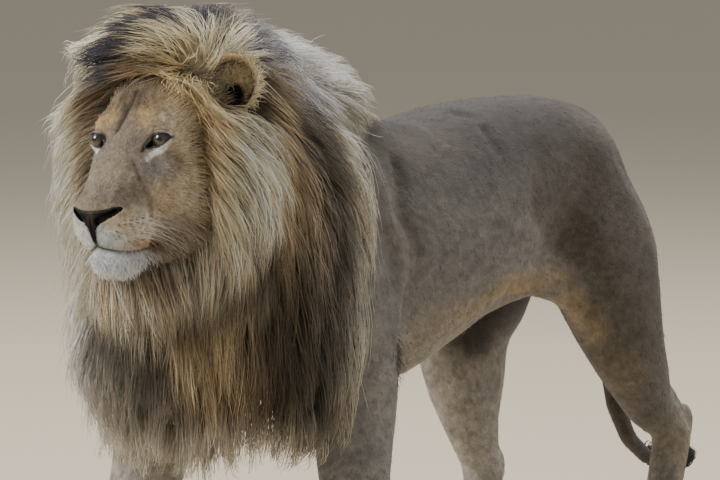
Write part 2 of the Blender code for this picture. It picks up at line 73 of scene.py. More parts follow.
LOG = logging.getLogger("lion")
Array = np.ndarray
Piece = bpy.types.Object
Triple = tuple[float, float, float]
CM = .01
UP = array([0, 0, 1])
SIDES = (1, -1)  # left and right


# ---------------- space

EYE_MIDDLE = array([.03, -.613, 1])  # midpoint between the eyeballs, in the lion's space
HEAD_YAW = radians(6)  # the head turns a little to the lion's left
FACE_YAW = radians(1.6)  # the face's own turn, within the mane
FACE_ROLL = radians(2.6)  # the face's left side is a little higher
EYE_SPREAD = 6.3  # centimetres from the middle of the head to an eye
EYE_RADIUS = 1.9  # centimetres


def axes_of(yaw: float, roll: float = 0) -> Array:
  """Forward, left and up of something that faces -Y, turned to its left and rolled left side up."""
  forward = array([math.sin(yaw), -math.cos(yaw), 0])
  left = array([math.cos(yaw), math.sin(yaw), 0])
  c, s = math.cos(roll), math.sin(roll)
  return np.stack([forward, left*c + UP*s, UP*c - left*s])


HEAD_AXES = axes_of(HEAD_YAW)
FACE_AXES = axes_of(FACE_YAW, FACE_ROLL)


# the step from the lion's space to the frame's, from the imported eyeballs
SHIFT = np.mean([corner[:] for node in ("eye_left", "eye_right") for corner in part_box(node)],
    axis=0) - EYE_MIDDLE


def from_head(points: Array, axes: Array = HEAD_AXES) -> Array:
  """Head centimetres (forward, left, up) carried into the lion's space in metres."""
  return EYE_MIDDLE + CM*(np.asarray(points, float) @ axes)


def to_head(points: Array, axes: Array = HEAD_AXES) -> Array:
  """The lion's space in metres carried into head centimetres."""
  return (np.asarray(points, float) - EYE_MIDDLE) @ axes.T/CM


def from_face(points: Array) -> Array:
  """Face centimetres carried into the lion's space in metres."""
  return from_head(points, FACE_AXES)


def to_face(points: Array) -> Array:
  """The lion's space in metres carried into face centimetres."""
  return to_head(points, FACE_AXES)


def size_of(vectors: Array) -> Array:
  """The length of each row."""
  return np.linalg.norm(vectors, axis=1)


def spin(angles: Array) -> tuple[Array, Array]:
  """Cosines and sines."""
  return cos(angles), sin(angles)


def table(text: str) -> Array:
  """Rows of numbers from text whose rows end with semicolons."""
  return array([row.split() for row in text.split(";")], float)


def unit(vectors: Array) -> Array:
  """Vectors divided by their lengths."""
  return vectors/maximum(np.linalg.norm(vectors, axis=-1, keepdims=True), 1e-9)


def ramp(low: float, high: float, values: Array) -> Array:
  """A smooth step: 0 below low, 1 above high, and 3t^2 - 2t^3 between."""
  share = clip((values - low)/(high - low), 0, 1)
  return share*share*(3 - 2*share)


def blended(first: Array, second: Array, share: Array) -> Array:
  """The first where the share is 0 and the second where it is 1."""
  share = share[:, None] if share.ndim == 1 else share
  return first*(1 - share) + second*share


def near(points: Array, centre: tuple, radii: tuple) -> Array:
  """exp(-q^2), q the distance from a centre over the radii."""
  return exp(-(((points - array(centre))/array(radii))**2).sum(axis=1))


def flipped(points: Array, side: float) -> Array:
  """Head places carried to one side."""
  return array(points)*[1, side, 1]


def stack(*parts: Array) -> Array:
  """Arrays side by side along a new last axis."""
  return np.stack(parts, axis=-1)


def cloud(points: Array, size: float, seed: int = 0) -> Array:
  """Soft noise from -1 to 1 whose blobs have a given size in metres.

  Each corner of a cubic lattice has a value hashed from its whole numbers; smooth steps mix them.
  """
  place = points/size
  low = np.floor(place).astype(np.int64)
  part = ramp(0, 1, place - low)
  total = zeros(len(points))
  for corner in np.ndindex(2, 2, 2):
    key = (low + corner) @ array([73856093, 19349663, 83492791]) + 7919*seed
    key = ((key ^ (key >> 13))*1274126177) & 0x7FFFFFFF
    value = ((key ^ (key >> 15)) & 0xFFFF)/32767.5 - 1
    total += value*np.where(corner, part, 1 - part).prod(axis=1)
  return total


# ---------------- surfaces

@dataclass
class Surface:
  """A mesh as arrays: points, four-sided faces and three-sided faces."""

  points: Array
  quads: Array = field(default_factory=lambda: zeros((0, 4), int))
  tris: Array = field(default_factory=lambda: zeros((0, 3), int))

  def triangles(self) -> Array:
    """Every face as triangles: a quad is split along its first diagonal."""
    return concatenate([self.tris, self.quads[:, [0, 1, 2]], self.quads[:, [0, 2, 3]]])

  def normals(self) -> Array:
    """Corner normals: the sum of the crossed edges of the triangles that meet there."""
    faces = self.triangles()
    a, b, c = (self.points[faces[:, k]] for k in range(3))
    crossed = cross(b - a, c - a)
    total = np.stack([
      sum(np.bincount(faces[:, k], crossed[:, axis], len(self.points)) for k in range(3))
      for axis in range(3)
    ], axis=1)
    return unit(total)

  def smoothed(self, rounds: int, weight: Array | None = None) -> "Surface":
    """Each point drawn half way to the mean of its neighbours.

    Args:
      rounds: how many times.
      weight: how much each point moves, from 0 to 1.

    Returns:
      The softer surface.
    """
    edges = concatenate([face[:, [k, (k + 1) % n]] for face,
        n in ((self.quads, 4), (self.tris, 3)) for k in range(n)])
    count = maximum(np.bincount(edges.ravel(), minlength=len(self.points)), 1)
    points = self.points.copy()
    pull = .5 if weight is None else .5*weight[:, None]
    for _ in range(rounds):
      mean = np.stack([
        np.bincount(edges[:, 0], points[edges[:, 1], axis], len(points))
        + np.bincount(edges[:, 1], points[edges[:, 0], axis], len(points))
        for axis in range(3)
      ], axis=1)/count[:, None]
      points += pull*(mean - points)
    return self.moved(points)

  def moved(self, points: Array) -> "Surface":
    """The same faces on other points."""
    return Surface(points, self.quads, self.tris)

  def __add__(self, other: "Surface") -> "Surface":
    """Two surfaces side by side as one."""
    step = len(self.points)
    return Surface(
      concatenate([self.points, other.points]),
      concatenate([self.quads, other.quads + step]),
      concatenate([self.tris, other.tris + step]),
    )


def grid_surface(points: Array) -> Surface:
  """A tube or ball from a grid of points.

  Args:
    points: (rows, columns, 3), each row a closed ring; a fan closes each end.

  Returns:
    The surface, facing outwards for rings that run anticlockwise seen from the last row.
  """
  rows, columns, _ = points.shape
  corner, ahead = corners_of(rows, columns)
  quads = stack(corner[:-1], ahead[:-1], ahead[1:], corner[1:]).reshape(-1, 4)
  flat = points.reshape(-1, 3)
  ends = np.stack([points[0].mean(axis=0), points[-1].mean(axis=0)])
  first, last = len(flat), len(flat) + 1
  low = stack(ahead[0], corner[0], np.full(columns, first))
  high = stack(corner[-1], ahead[-1], np.full(columns, last))
  return Surface(concatenate([flat, ends]), quads, concatenate([low, high]))


def corners_of(rows: int, columns: int) -> tuple[Array, Array]:
  """The numbers of a grid's corners, and of the next corner round each row."""
  corner = arange(rows*columns).reshape(rows, columns)
  return corner, np.roll(corner, -1, axis=1)


def ball(centre: Array, radii: Array, yaw: float = 0, rows: int = 20, columns: int = 26) -> Surface:
  """An ellipsoid: (sin v cos u, sin v sin u, -cos v) times the radii, turned about Z by yaw."""
  v = linspace(0, pi, rows + 2)[1:-1, None]
  u = linspace(0, tau, columns, endpoint=False)[None, :]
  shape = np.stack(np.broadcast_arrays(sin(v)*cos(u), sin(v)*sin(u), -cos(v)), axis=-1)
  c, s = math.cos(yaw), math.sin(yaw)
  turn = array([[c, -s, 0], [s, c, 0], [0, 0, 1]])
  return grid_surface(np.asarray(centre) + (shape*np.asarray(radii)) @ turn.T)


def tube(stations: Array, columns: int = 24, squareness: float = 2) -> Surface:
  """A superellipse section carried along a path.

  Args:
    stations: rows of x, y, z, half width and half depth.
    columns: points round the section.
    squareness: n, 2 for an ellipse and more for a squarer section.

  Returns:
    The tube, which reaches (|cos t|^n + |sin t|^n)^(-1/n) times the half sizes at angle t.
  """
  stations = np.asarray(stations, float)
  centres = stations[:, :3]
  along = unit(np.gradient(centres, axis=0))
  side = unit(array([1, 0, 0]) - along*along[:, :1])
  across = cross(along, side)
  angle = linspace(0, tau, columns, endpoint=False)
  c, s = cos(angle), sin(angle)
  bulge = (np.abs(c)**squareness + np.abs(s)**squareness)**(-1/squareness)
  ring = (side[:, None]*(stations[:, 3, None]*(c*bulge))[..., None]
      + across[:, None]*(stations[:, 4, None]*(s*bulge))[..., None])
  return grid_surface(centres[:, None] + ring)


def total_of(parts: list[Surface]) -> Surface:
  """All the surfaces as one."""
  return functools.reduce(Surface.__add__, parts)


def mesh_piece(name: str, surface: Surface) -> Piece:
  """Puts a surface into a new object at the origin, moved into the frame's space."""
  mesh = bpy.data.meshes.new(name)
  points = surface.points + SHIFT
  corners = concatenate([surface.quads.ravel(), surface.tris.ravel()])
  sizes = concatenate([np.full(len(surface.quads), 4), np.full(len(surface.tris), 3)])
  mesh.vertices.add(len(points))
  mesh.vertices.foreach_set("co", points.astype(np.float32).ravel())
  mesh.loops.add(len(corners))
  mesh.loops.foreach_set("vertex_index", corners.astype(np.int32))
  mesh.polygons.add(len(sizes))
  mesh.polygons.foreach_set("loop_start", concatenate([[0], np.cumsum(sizes)[:-1]]).astype(np.int32))
  mesh.update(calc_edges=True)
  mesh.validate()
  mesh.shade_smooth()
  piece = bpy.data.objects.new(name, mesh)
  bpy.context.scene.collection.objects.link(piece)
  return piece


def fused(parts: list[Surface], voxel: float) -> Surface:
  """One closed surface round all the parts, by a voxel remesh."""
  raw = mesh_piece("fusing", total_of(parts))
  remesh = raw.modifiers.new("fuse", "REMESH")
  remesh.mode = "VOXEL"
  remesh.voxel_size = voxel
  graph = bpy.context.evaluated_depsgraph_get()
  mesh = bpy.data.meshes.new_from_object(raw.evaluated_get(graph))
  points = zeros(len(mesh.vertices)*3, np.float32)
  mesh.vertices.foreach_get("co", points)
  corners = zeros(len(mesh.loops), np.int32)
  mesh.loops.foreach_get("vertex_index", corners)
  sizes = zeros(len(mesh.polygons), np.int32)
  mesh.polygons.foreach_get("loop_total", sizes)
  starts = concatenate([[0], np.cumsum(sizes)[:-1]])
  quads = corners[starts[sizes == 4][:, None] + arange(4)]
  tris = corners[starts[sizes == 3][:, None] + arange(3)]
  bpy.data.objects.remove(raw)
  bpy.data.meshes.remove(mesh)
  return Surface(points.reshape(-1, 3).astype(float) - SHIFT, quads.astype(int), tris.astype(int))


def give_colour(piece: Piece, colour: Array, name: str = "coat_colour") -> None:
  """Stores one colour for every corner point of a piece."""
  layer = piece.data.attributes.new(name, "FLOAT_COLOR", "POINT")
  layer.data.foreach_set("color", np.hstack([colour, ones((len(colour), 1))]).astype(np.float32).ravel())


def give_bake_map(piece: Piece, place: Array) -> None:
  """Stores the unwrapped place of every corner point in the map named OFBake."""
  mesh = piece.data
  corner = zeros(len(mesh.loops), np.int32)
  mesh.loops.foreach_get("vertex_index", corner)
  layer = mesh.uv_layers.new(name="OFBake")
  layer.data.foreach_set("uv", place[corner].astype(np.float32).ravel())


# ---------------- fields

@dataclass(frozen=True)
class Oval:
  """An ellipsoid as a field. Its unit is that of its numbers."""

  centre: Triple
  radii: Triple
  pitch: float = 0  # degrees, nose down, about the second axis
  yaw: float = 0  # radians, about the third axis

  def distance(self, points: Array) -> Array:
    """Near enough the distance outside: k (k - 1) / g, with k = |p / r| and g = |p / r^2|."""
    x, y, z = (points - array(self.centre)).T
    c, s = spin(self.yaw)
    x, y = x*c + y*s, y*c - x*s
    c, s = spin(radians(self.pitch))
    local = stack(x*c - z*s, y, x*s + z*c)
    radii = array(self.radii)
    scaled = size_of(local/radii)
    steep = size_of(local/radii**2)
    return scaled*(scaled - 1)/maximum(steep, 1e-6)

  def drawn_in(self, depth: float) -> "Oval":
    """The same form with its radii less by depth."""
    return Oval(self.centre, tuple(max(r - depth, .25*r) for r in self.radii), self.pitch, self.yaw)


@dataclass(frozen=True)
class Bar:
  """A tapering tube with an oval section as a field, in head centimetres."""

  start: Triple
  end: Triple
  size_start: tuple[float, float]
  size_end: tuple[float, float]

  def distance(self, points: Array) -> Array:
    """Distance to the middle line, its sideways part scaled by depth over width, less the depth."""
    start, end = array(self.start), array(self.end)
    along = end - start
    share = clip((points - start) @ along/(along @ along), 0, 1)
    local = points - start - share[:, None]*along
    wide = self.size_start[0] + (self.size_end[0] - self.size_start[0])*share
    deep = self.size_start[1] + (self.size_end[1] - self.size_start[1])*share
    local[:, 1] *= deep/wide
    return size_of(local) - deep


def melted(distances: list[Array], blend: float) -> Array:
  """The smooth least of several fields: m - b ln sum exp((m - d) / b)."""
  parts = np.stack(distances)
  nearest = parts.min(axis=0)
  return nearest - blend*np.log(exp((nearest - parts)/blend).sum(axis=0))


def points_of(line: tuple) -> Array:
  """A bent line's points as rows of three."""
  return array(line, float).reshape(-1, 3)


def line_distance(points: Array, line: Array) -> Array:
  """Distance from each point to the nearest place on a bent line."""
  best = np.full(len(points), np.inf)
  for start, end in zip(line[:-1], line[1:]):
    along = end - start
    share = clip((points - start) @ along/max(along @ along, 1e-12), 0, 1)
    best = minimum(best, size_of(points - start - share[:, None]*along))
  return best


# ---------------- finishes

def tone(red: float, green: float, blue: float) -> Array:
  """A display colour, 0 to 255, as linear light."""
  share = array([red, green, blue])/255
  return np.where(share <= .04045, share/12.92, ((share + .055)/1.055)**2.4)


@dataclass(frozen=True)
class Finish:
  """A shaded surface whose colour comes from the coat_colour attribute or is plain."""

  name: str
  roughness: float
  plain: Triple | None = None
  specular: float = .3
  sheen: float = 0
  coat: float = 0
  mottle: float = 0
  mottle_scale: Triple = (90, 90, 90)
  bump: float = 0
  bump_scale: Triple = (400, 400, 400)
  bump_depth: float = .002

  def material(self) -> bpy.types.Material:
    """Builds the node tree once and returns it."""
    made = bpy.data.materials.get(self.name)
    if made:
      return made
    made = bpy.data.materials.new(self.name)
    made.use_nodes = True
    tree = made.node_tree
    shader = tree.nodes["Principled BSDF"]
    for name, value in (("Roughness", self.roughness), ("Specular IOR Level", self.specular),
              ("Sheen Weight", self.sheen), ("Sheen Roughness", .5),
              ("Coat Weight", self.coat), ("Coat Roughness", .04)):
      shader.inputs[name].default_value = value
    where = tree.nodes.new("ShaderNodeTexCoord").outputs["Object"]
    if self.plain:
      shader.inputs["Base Color"].default_value = (*tone(*self.plain), 1)
    else:
      colour = tree.nodes.new("ShaderNodeAttribute")
      colour.attribute_name = "coat_colour"
      source = colour.outputs["Color"]
      if self.mottle:
        source = self.mottled(tree, where, source)
      tree.links.new(source, shader.inputs["Base Color"])
    if self.bump:
      height = self.noise(tree, where, self.bump_scale, 4)
      bump = self.node(tree, "Bump", {"Strength": self.bump, "Distance": self.bump_depth, "Height": height})
      tree.links.new(bump.outputs["Normal"], shader.inputs["Normal"])
    return made

  def node(self, tree: bpy.types.NodeTree, kind: str, inputs: dict) -> bpy.types.Node:
    """A new node whose inputs are values or links from other nodes' outputs."""
    made = tree.nodes.new("ShaderNode" + kind)
    for name, value in inputs.items():
      if isinstance(value, bpy.types.NodeSocket):
        tree.links.new(value, made.inputs[name])
      else:
        made.inputs[name].default_value = value
    return made

  def noise(self, tree: bpy.types.NodeTree, where: bpy.types.NodeSocket, scale: tuple,
       detail: float) -> bpy.types.NodeSocket:
    """Noise whose grain is set by a scale along each axis."""
    place = self.node(tree, "Mapping", {"Scale": scale, "Vector": where}).outputs["Vector"]
    return self.node(tree, "TexNoise", {"Scale": 1, "Detail": detail, "Vector": place}).outputs["Fac"]

  def mottled(self, tree: bpy.types.NodeTree, where: bpy.types.NodeSocket,
        source: bpy.types.NodeSocket) -> bpy.types.NodeSocket:
    """The colour times 1 plus or minus the mottle, by two grains of noise."""
    for coarse, share in ((1, 1), (.16, .6)):
      grain = self.noise(tree, where, tuple(s*coarse for s in self.mottle_scale), 3)
      swing = self.mottle*share
      spread = self.node(tree, "MapRange", {"From Min": .3, "From Max": .7, "To Min": 1 - swing,
                         "To Max": 1 + swing, "Value": grain})
      times = self.node(tree, "VectorMath", {0: source, 1: spread.outputs["Result"]})
      times.operation = "MULTIPLY"
      source = times.outputs["Vector"]
    return source


SKIN_FUR = Finish("short_fur_skin", .75, specular=.2, sheen=.15, mottle=.16,
         mottle_scale=(330, 150, 200), bump=.55, bump_scale=(520, 180, 300))
COAT_HAIR = Finish("coat_hair", .62, specular=.25, sheen=.1)
MANE_HAIR = Finish("mane_hair", .52, specular=.3)
NOSE_LEATHER = Finish("nose_leather", .5, specular=.22, bump=.5, bump_scale=(900, 900, 900),
           bump_depth=.0008)
WET_EYE = Finish("wet_eye", .12, specular=.5, coat=1)
LID_SKIN = Finish("lid_skin", .38, specular=.5)
CLAW_HORN = Finish("claw_horn", .35, plain=(70, 60, 50), specular=.5)
WHISKER_HAIR = Finish("whisker_hair", .4, plain=(236, 232, 224), specular=.4)
STUDIO_FLOOR = Finish("studio_floor", .9, plain=(204, 192, 170), specular=.1)


class Slot(Enum):
  """Material slots."""

  COAT = "coat"
  MANE = "mane"
  EYE = "eye"
  NOSE = "nose"
  TUFT = "tuft"


def dressed(piece: Piece, finish: Finish, slot: Slot) -> Piece:
  """Gives a piece its finish and lets it ride on the one body."""
  piece.data.materials.append(finish.material())
  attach(piece, "root")
  piece.data.calc_loop_triangles()
  LOG.info("%s: %d triangles", piece.name, len(piece.data.loop_triangles))
  return piece


# ---------------- head

@dataclass
class HeadShape:
  """The head as a smooth field in centimetres forward, left and up of the middle of the eyes."""

  heart: Triple = (-3, 0, -7)
  blend: float = .95
  middle: tuple = (
    Oval((-11, 0, 2), (11, 8.6, 9.8)),  # cranium
    Oval((-5.8, 0, 4.4), (5.7, 7.2, 6.8), -14),  # forehead
    Oval((9, 0, -12.2), (2.6, 4.6, 2.4)),  # tip of the nose
    Oval((8.5, 0, -15), (2.4, 1.9, 2.2)),  # upper lip in the middle
    Oval((5.4, 0, -18.8), (3.9, 3.7, 2.7)),  # chin
    Oval((-5, 0, -13), (8, 7, 7)),  # throat
    Bar((-1.5, 0, 1.2), (2.6, 0, -3.2), (3.8, 2.5), (4.1, 2.7)),
    Bar((2.6, 0, -3.2), (9, 0, -10.2), (4.1, 2.7), (4.9, 2.5)),
  )
  paired: tuple = (
    Oval((6.8, 2.9, -14.1), (3.8, 2.9, 2.9)),  # upper lip by the middle
    Oval((3.6, 3.7, -13), (5.2, 2.4, 3.9)),  # whisker pad
    Oval((1, 4, -8), (5, 2.7, 5)),  # flank of the muzzle
    Oval((-6, 5.4, -8.2), (6.4, 4.2, 7.6)),  # masseter
    Oval((-2.8, 5.6, -4.2), (4.2, 3.4, 3.8)),  # cheekbone
    Oval((-2.6, 5.2, 0), (3, 3.4, 3.2)),  # rim of the eye socket
    Oval((-2, 4.7, 2.9), (3, 2.9, 1.9)),  # brow
    Bar((5, 2, -18.8), (-1, 4.4, -16.8), (2, 2.1), (2.8, 3)),
    Bar((-1, 4.4, -16.8), (-8.5, 6.4, -12), (2.8, 3), (3.4, 4.4)),
  )

  def distance(self, points: Array) -> Array:
    """The melted field of every form, with the paired ones on both sides."""
    mirrored = flipped(points, -1)
    parts = [form.distance(points) for form in self.middle]
    parts += [form.distance(side) for form in self.paired for side in (points, mirrored)]
    return melted(parts, self.blend)

  def lidded(self, points: Array) -> Array:
    """The head's field with the lids' bulge over each eyeball melted on."""
    parts = [self.distance(points)]
    for side in SIDES:
      centre = array([0, side*EYE_SPREAD, 0])
      parts.append(size_of(points - centre) - EYE_RADIUS - .3)
    return melted(parts, .22)

  def met_by(self, origins: Array, directions: Array, reach: float, inset: float = 0,
      lids: bool = False) -> Array:
    """How far along each ray the outermost meeting with the surface lies.

    Args:
      origins: points inside the head.
      directions: unit rays, outwards.
      reach: the farthest place that is tried.
      inset: how far inside the field the surface is taken.
      lids: whether the lids' bulge counts.

    Returns:
      The distances, by stepping in from the reach and then halving.
    """
    measure = self.lidded if lids else self.distance
    outer, inner = np.full(len(directions), float(reach)), zeros(len(directions))
    for place in arange(reach, .5, -.8):
      waiting = np.flatnonzero(inner == 0)
      if not len(waiting):
        break
      solid = measure(origins[waiting] + directions[waiting]*place) < -inset
      inner[waiting[solid]], outer[waiting[solid]] = place, min(place + .8, reach)
    for _ in range(9):
      middle = .5*(inner + outer)
      solid = measure(origins + directions*middle[:, None]) < -inset
      inner, outer = np.where(solid, middle, inner), np.where(solid, outer, middle)
    return inner


HEAD = HeadShape()


@dataclass
class EyeOpening:
  """The almond between the lids of one eye, in face centimetres."""

  side: float
  look: float  # how far the iris turns to its own side
  tilt: float = .14  # rise of the middle line towards the outer corner
  toe_out: float = radians(17)  # how far the opening faces its own side
  inner: float = -2.45
  outer: float = 1.58
  upper: float = .8
  lower: float = 1.04
  droop: float = .75  # how far the inner corner sinks below the middle line

  def axes(self, turn: float | None = None) -> tuple[Array, Array, Array]:
    """Forward, outward and upward unit vectors, of the iris for its own turn."""
    turn = self.toe_out if turn is None else turn
    gaze = unit(array([math.cos(turn), self.side*math.sin(turn), .05]))
    out = array([-math.sin(turn), self.side*math.cos(turn), 0])
    out = unit(out - gaze*(out @ gaze))
    return gaze, out, cross(gaze, out)*self.side

  def centre(self) -> Array:
    """The middle of the eyeball."""
    return array([0, self.side*EYE_SPREAD, 0])

  def span(self) -> tuple[float, float]:
    """The middle and half of the way from corner to corner."""
    return .5*(self.inner + self.outer), .5*(self.outer - self.inner)

  def arcs(self, a: Array) -> tuple[Array, Array]:
    """Heights of the upper and lower lids at each place across the opening.

    They leave a tilted, drooping middle line by upper (1 - |x|^3) and lower (1 - |x|^2.2), where x
    runs from -1 to 1 across.
    """
    middle, half = self.span()
    x = clip((a - middle)/half, -1, 1)
    line = self.tilt*a + .06 - self.droop*ramp(-1.2, -2.45, a)
    high, low = 1 - np.abs(x)**3, 1 - np.abs(x)**2.2
    return line + self.upper*high, line - self.lower*low*(1 - .3*x)

  def depth_inside(self, points: Array) -> Array:
    """How far points lie inside the almond, in centimetres, negative outside."""
    gaze, out, rise = self.axes()
    local = points - self.centre()
    a, b, c = local @ out, local @ rise, local @ gaze
    top, low = self.arcs(a)
    inside = minimum(minimum(top - b, b - low), minimum(a - self.inner, self.outer - a)*.8)
    return np.where(c > 0, inside, -5)


EYES = (EyeOpening(1, radians(17)), EyeOpening(-1, radians(4)))


@dataclass(frozen=True)
class Fold:
  """A fold or ridge along a bent line, on the sides given as factors; negative for a groove."""

  line: tuple
  depth: float
  width: float
  sides: tuple = ((1, 1, 1), (1, -1, 1))

  def height(self, points: Array) -> Array:
    """Depth times exp of minus the squared distance over the squared width."""
    gaps = [line_distance(points, points_of(self.line)*side)/self.width for side in self.sides]
    return sum(self.depth*exp(-gap**2) for gap in gaps)


ONE_SIDE = ((1, 1, 1),)
MOUTH_LINE = (
  (11.1, 0, -16.85), (10.4, .9, -17.25), (9.2, 2.4, -17.7), (7.5, 3.9, -17.95), (5.7, 4.8, -17.95),
  (4.1, 5.4, -17.8), (2.9, 5.9, -17.5), (2.1, 6.3, -17.1),
)
PHILTRUM = ((11.9, 0, -13.6), (11.2, 0, -16.9))
TEAR_LINE = ((1.3, 4.9, .7), (1.4, 4.5, 0), (1.8, 4.25, -.7), (2.3, 4.15, -1.2), (3, 4.2, -1.9))
MUZZLE_FOLD = (
  (4.7, 2.9, -2.4), (4.8, 3.4, -3.2), (4.9, 4, -4), (5.2, 5.1, -6.2), (4.3, 6, -8.2), (3.7, 6.2, -9.9),
  (3.7, 6.1, -11.2),
)
BROW_FURROW = ((1.6, -1.9, 1.6), (1.1, -1.4, 2.6), (.6, -.7, 4.2), (-.1, .1, 6.1), (-1.1, .3, 8))

CREASES = tuple(Fold(*row) for row in (
  (MOUTH_LINE, -.55, .3), (PHILTRUM, -.32, .24, ONE_SIDE),
  ((10.6, 1.6, -16.3, 9.6, 3.2, -16.8, 7.8, 4.6, -17, 5.6, 5.3, -17), .22, .55),
  ((10, 0, -18, 8.6, 2.8, -18.6, 6, 4.4, -18.9), .22, .75),
  ((3, 6, -17.6, .5, 7.4, -16.6, -2, 8.6, -14.8), -.25, .8), (MUZZLE_FOLD, -.26, .75),
  ((6.4, 5.6, -11.3, 8.4, 5.5, -11.2, 9.6, 4.9, -11.2), -.16, .35),
  ((4.6, 6.8, -13, 4.4, 6.9, -15.2), -.18, .6),
  ((6.6, 3.1, -3.6, 8.4, 3.3, -6.2, 9.8, 3.4, -8.4), .22, .9), (TEAR_LINE, -.22, .35),
  (BROW_FURROW, -.26, .42, ONE_SIDE), ((.6, 2.6, 3, .2, 3, 5.5, -.8, 3.2, 7.5), .2, 1.1),
  ((2.2, 3, 1.7, 1.7, 4.4, 2.5, 1, 6.2, 2.8, 0, 8.2, 2.1), .34, .62),
  ((2.2, 4, .7, 1.7, 5, 1.75, 1.2, 6.3, 2, .3, 7.8, 1.5), -.2, .24),
  ((3.4, 5.4, -2.6, 2.2, 6.2, -2.4, 1.2, 7, -1.75, .2, 7.9, -.6), .12, .42),
  ((3.6, 5.6, -3.4, 2.4, 6.8, -3.1, .9, 8, -2), -.14, .35),
  ((2.2, 7.2, -5.2, .6, 8.6, -7.2, .4, 8.6, -10.2), .14, 1.2),
))


@dataclass(frozen=True)
class NoseShape:
  """The bare nose: two lobed wings, a shallow dip between, and a foot on the lip's groove."""

  half: float = 5.2

  def top(self, left: Array) -> Array:
    """Height of the upper edge."""
    return interp(np.abs(left), [0, 1.5, 3, 4, 4.7, 5.2], [-10.75, -10.62, -10.35, -10.05, -10, -10.35])

  def low(self, left: Array) -> Array:
    """Height of the lower edge."""
    return interp(np.abs(left), [0, .22, .36, .5, .8, 1.6, 2.7, 3.8, 4.6, 5, 5.2],
            [-16.2, -16, -14.8, -14.1, -13.6, -13.05, -12.45, -11.9, -11.3, -10.85, -10.45])

  def front(self, left: Array, up: Array) -> Array:
    """How far forward the leather lies: 11.95 - 0.085 L^2 - 0.05 (U + 11.5)^2, turned back over the top."""
    over = clip(up - self.top(left) + .55, 0, 1)
    return 11.95 - .085*left**2 - .05*(up + 11.5)**2 - .9*over**2

  def covers(self, points: Array, margin: float) -> Array:
    """1 where the leather covers points, grown by a margin in centimetres."""
    left, up = points[:, 1], points[:, 2]
    inside = minimum(minimum(self.top(left) - up, up - self.low(left)), self.half - np.abs(left)) + margin
    return ramp(-.15, .15, inside)*(points[:, 0] > 7.5)


NOSE = NoseShape()


@dataclass
class HeadSurface:
  """The visible head: the field's surface on a grid of rays, with lids, lips and folds."""

  columns: int = 266
  rows: int = 160
  coat: float = .28  # centimetres that the skin lies inside the fur's tips

  def rays(self) -> Array:
    """Unit rays about the forward axis, crowded towards the face and the eyes."""
    share = (arange(self.rows) + .5)/self.rows
    polar = pi*(.62*share + .38*share**3)
    turn = linspace(0, tau, self.columns, endpoint=False)
    eyes = radians(48)
    for place in (eyes, pi - eyes):
      gap = np.mod(turn - place + pi, tau) - pi
      turn = turn - .11*sin(turn - place)*exp(-(gap/.5)**2)*4
    around = stack(0*turn, cos(turn), sin(turn))
    c, s = spin(polar[:, None, None])
    return (c*[1, 0, 0] + s*around[None])[::-1]

  def surface(self) -> Surface:
    """The head in face centimetres, each eye's opening sunk behind its eyeball."""
    rays = self.rays()
    flat = rays.reshape(-1, 3)
    heart = np.tile(array(HEAD.heart), (len(flat), 1))
    reach = HEAD.met_by(heart, flat, 31, self.coat, lids=True)
    points = heart + flat*reach[:, None]
    shell = grid_surface(points.reshape(self.rows, self.columns, 3))
    normals = shell.normals()
    lift = sum(crease.height(shell.points) for crease in CREASES)
    points = shell.points + normals*lift[:, None]
    for eye in EYES:
      gaze, _, _ = eye.axes()
      inside = eye.depth_inside(points)
      sunk = 1.3*ramp(-.03, .1, inside)
      points = points - gaze*sunk[:, None]
    points[:, 0] -= 1.3*NOSE.covers(points, -.28)
    return shell.moved(points)


@dataclass
class Ears:
  """Two round cups, each turned forwards and outwards."""

  centre: Triple = (-12, 11.8, 8.7)
  rows: int = 22
  columns: int = 40

  def frame(self, side: float) -> tuple[Array, Array]:
    """The middle of an ear and its axes: across, opening, up."""
    forward, left, _ = HEAD_AXES
    opening = unit(forward*.82 + left*side*.55 + UP*.1)
    across = unit(cross(opening, UP))
    rise = cross(across, opening)
    return from_head(array(self.centre)*[1, side, 1]), np.stack([across, opening, rise])

  def local(self, side: float, points: Array) -> Array:
    """Points across, ahead of and above the middle of one ear."""
    middle, axes = self.frame(side)
    return (points - middle) @ axes.T

  def surface(self, side: float) -> Surface:
    """A closed cup: a profile from the back pole over the rim into the hollow, carried round an oval."""
    middle, axes = self.frame(side)
    profile = array([
      (.004, -.031), (.016, -.029), (.028, -.024), (.038, -.015), (.044, -.003), (.0455, .007),
      (.0435, .012), (.0405, .01), (.0385, .002), (.036, -.007), (.03, -.015), (.02, -.02),
      (.01, -.022), (.003, -.0225),
    ])
    place = linspace(0, len(profile) - 1, self.rows)
    radius = interp(place, arange(len(profile)), profile[:, 0])[:, None]
    depth = interp(place, arange(len(profile)), profile[:, 1])[:, None]
    angle = linspace(0, tau, self.columns, endpoint=False)[None, :]
    low = ramp(.1, 1, -sin(angle))
    across = radius*cos(angle)*(1 - .16*low)
    rise = radius*sin(angle)*1.12
    ahead = depth - .01*low*(radius/.045)
    local = stack(across, ahead, rise)
    return grid_surface(middle + local @ axes)

  def clear(self, points: Array, far: float) -> Array:
    """0 within 0.04 m of the middle of an ear and 1 from far on."""
    left, right = (ramp(.04, far, size_of(points - self.frame(side)[0])) for side in SIDES)
    return left*right

  def cleared(self, points: Array) -> Array:
    """Skin that would show inside a cup, pushed back behind it."""
    for side in SIDES:
      across, ahead, up = self.local(side, points).T
      inside = ramp(.043, .036, hypot(across, up))*(ahead > -.03)*(ahead < .06)
      points = points - (inside*(ahead + .034))[:, None]*self.frame(side)[1][1]
    return points


EARS = Ears()


# ---------------- body

TOES = ((-1, .55), (-.36, 1), (.36, 1), (1, .55))  # how far across, and how far ahead


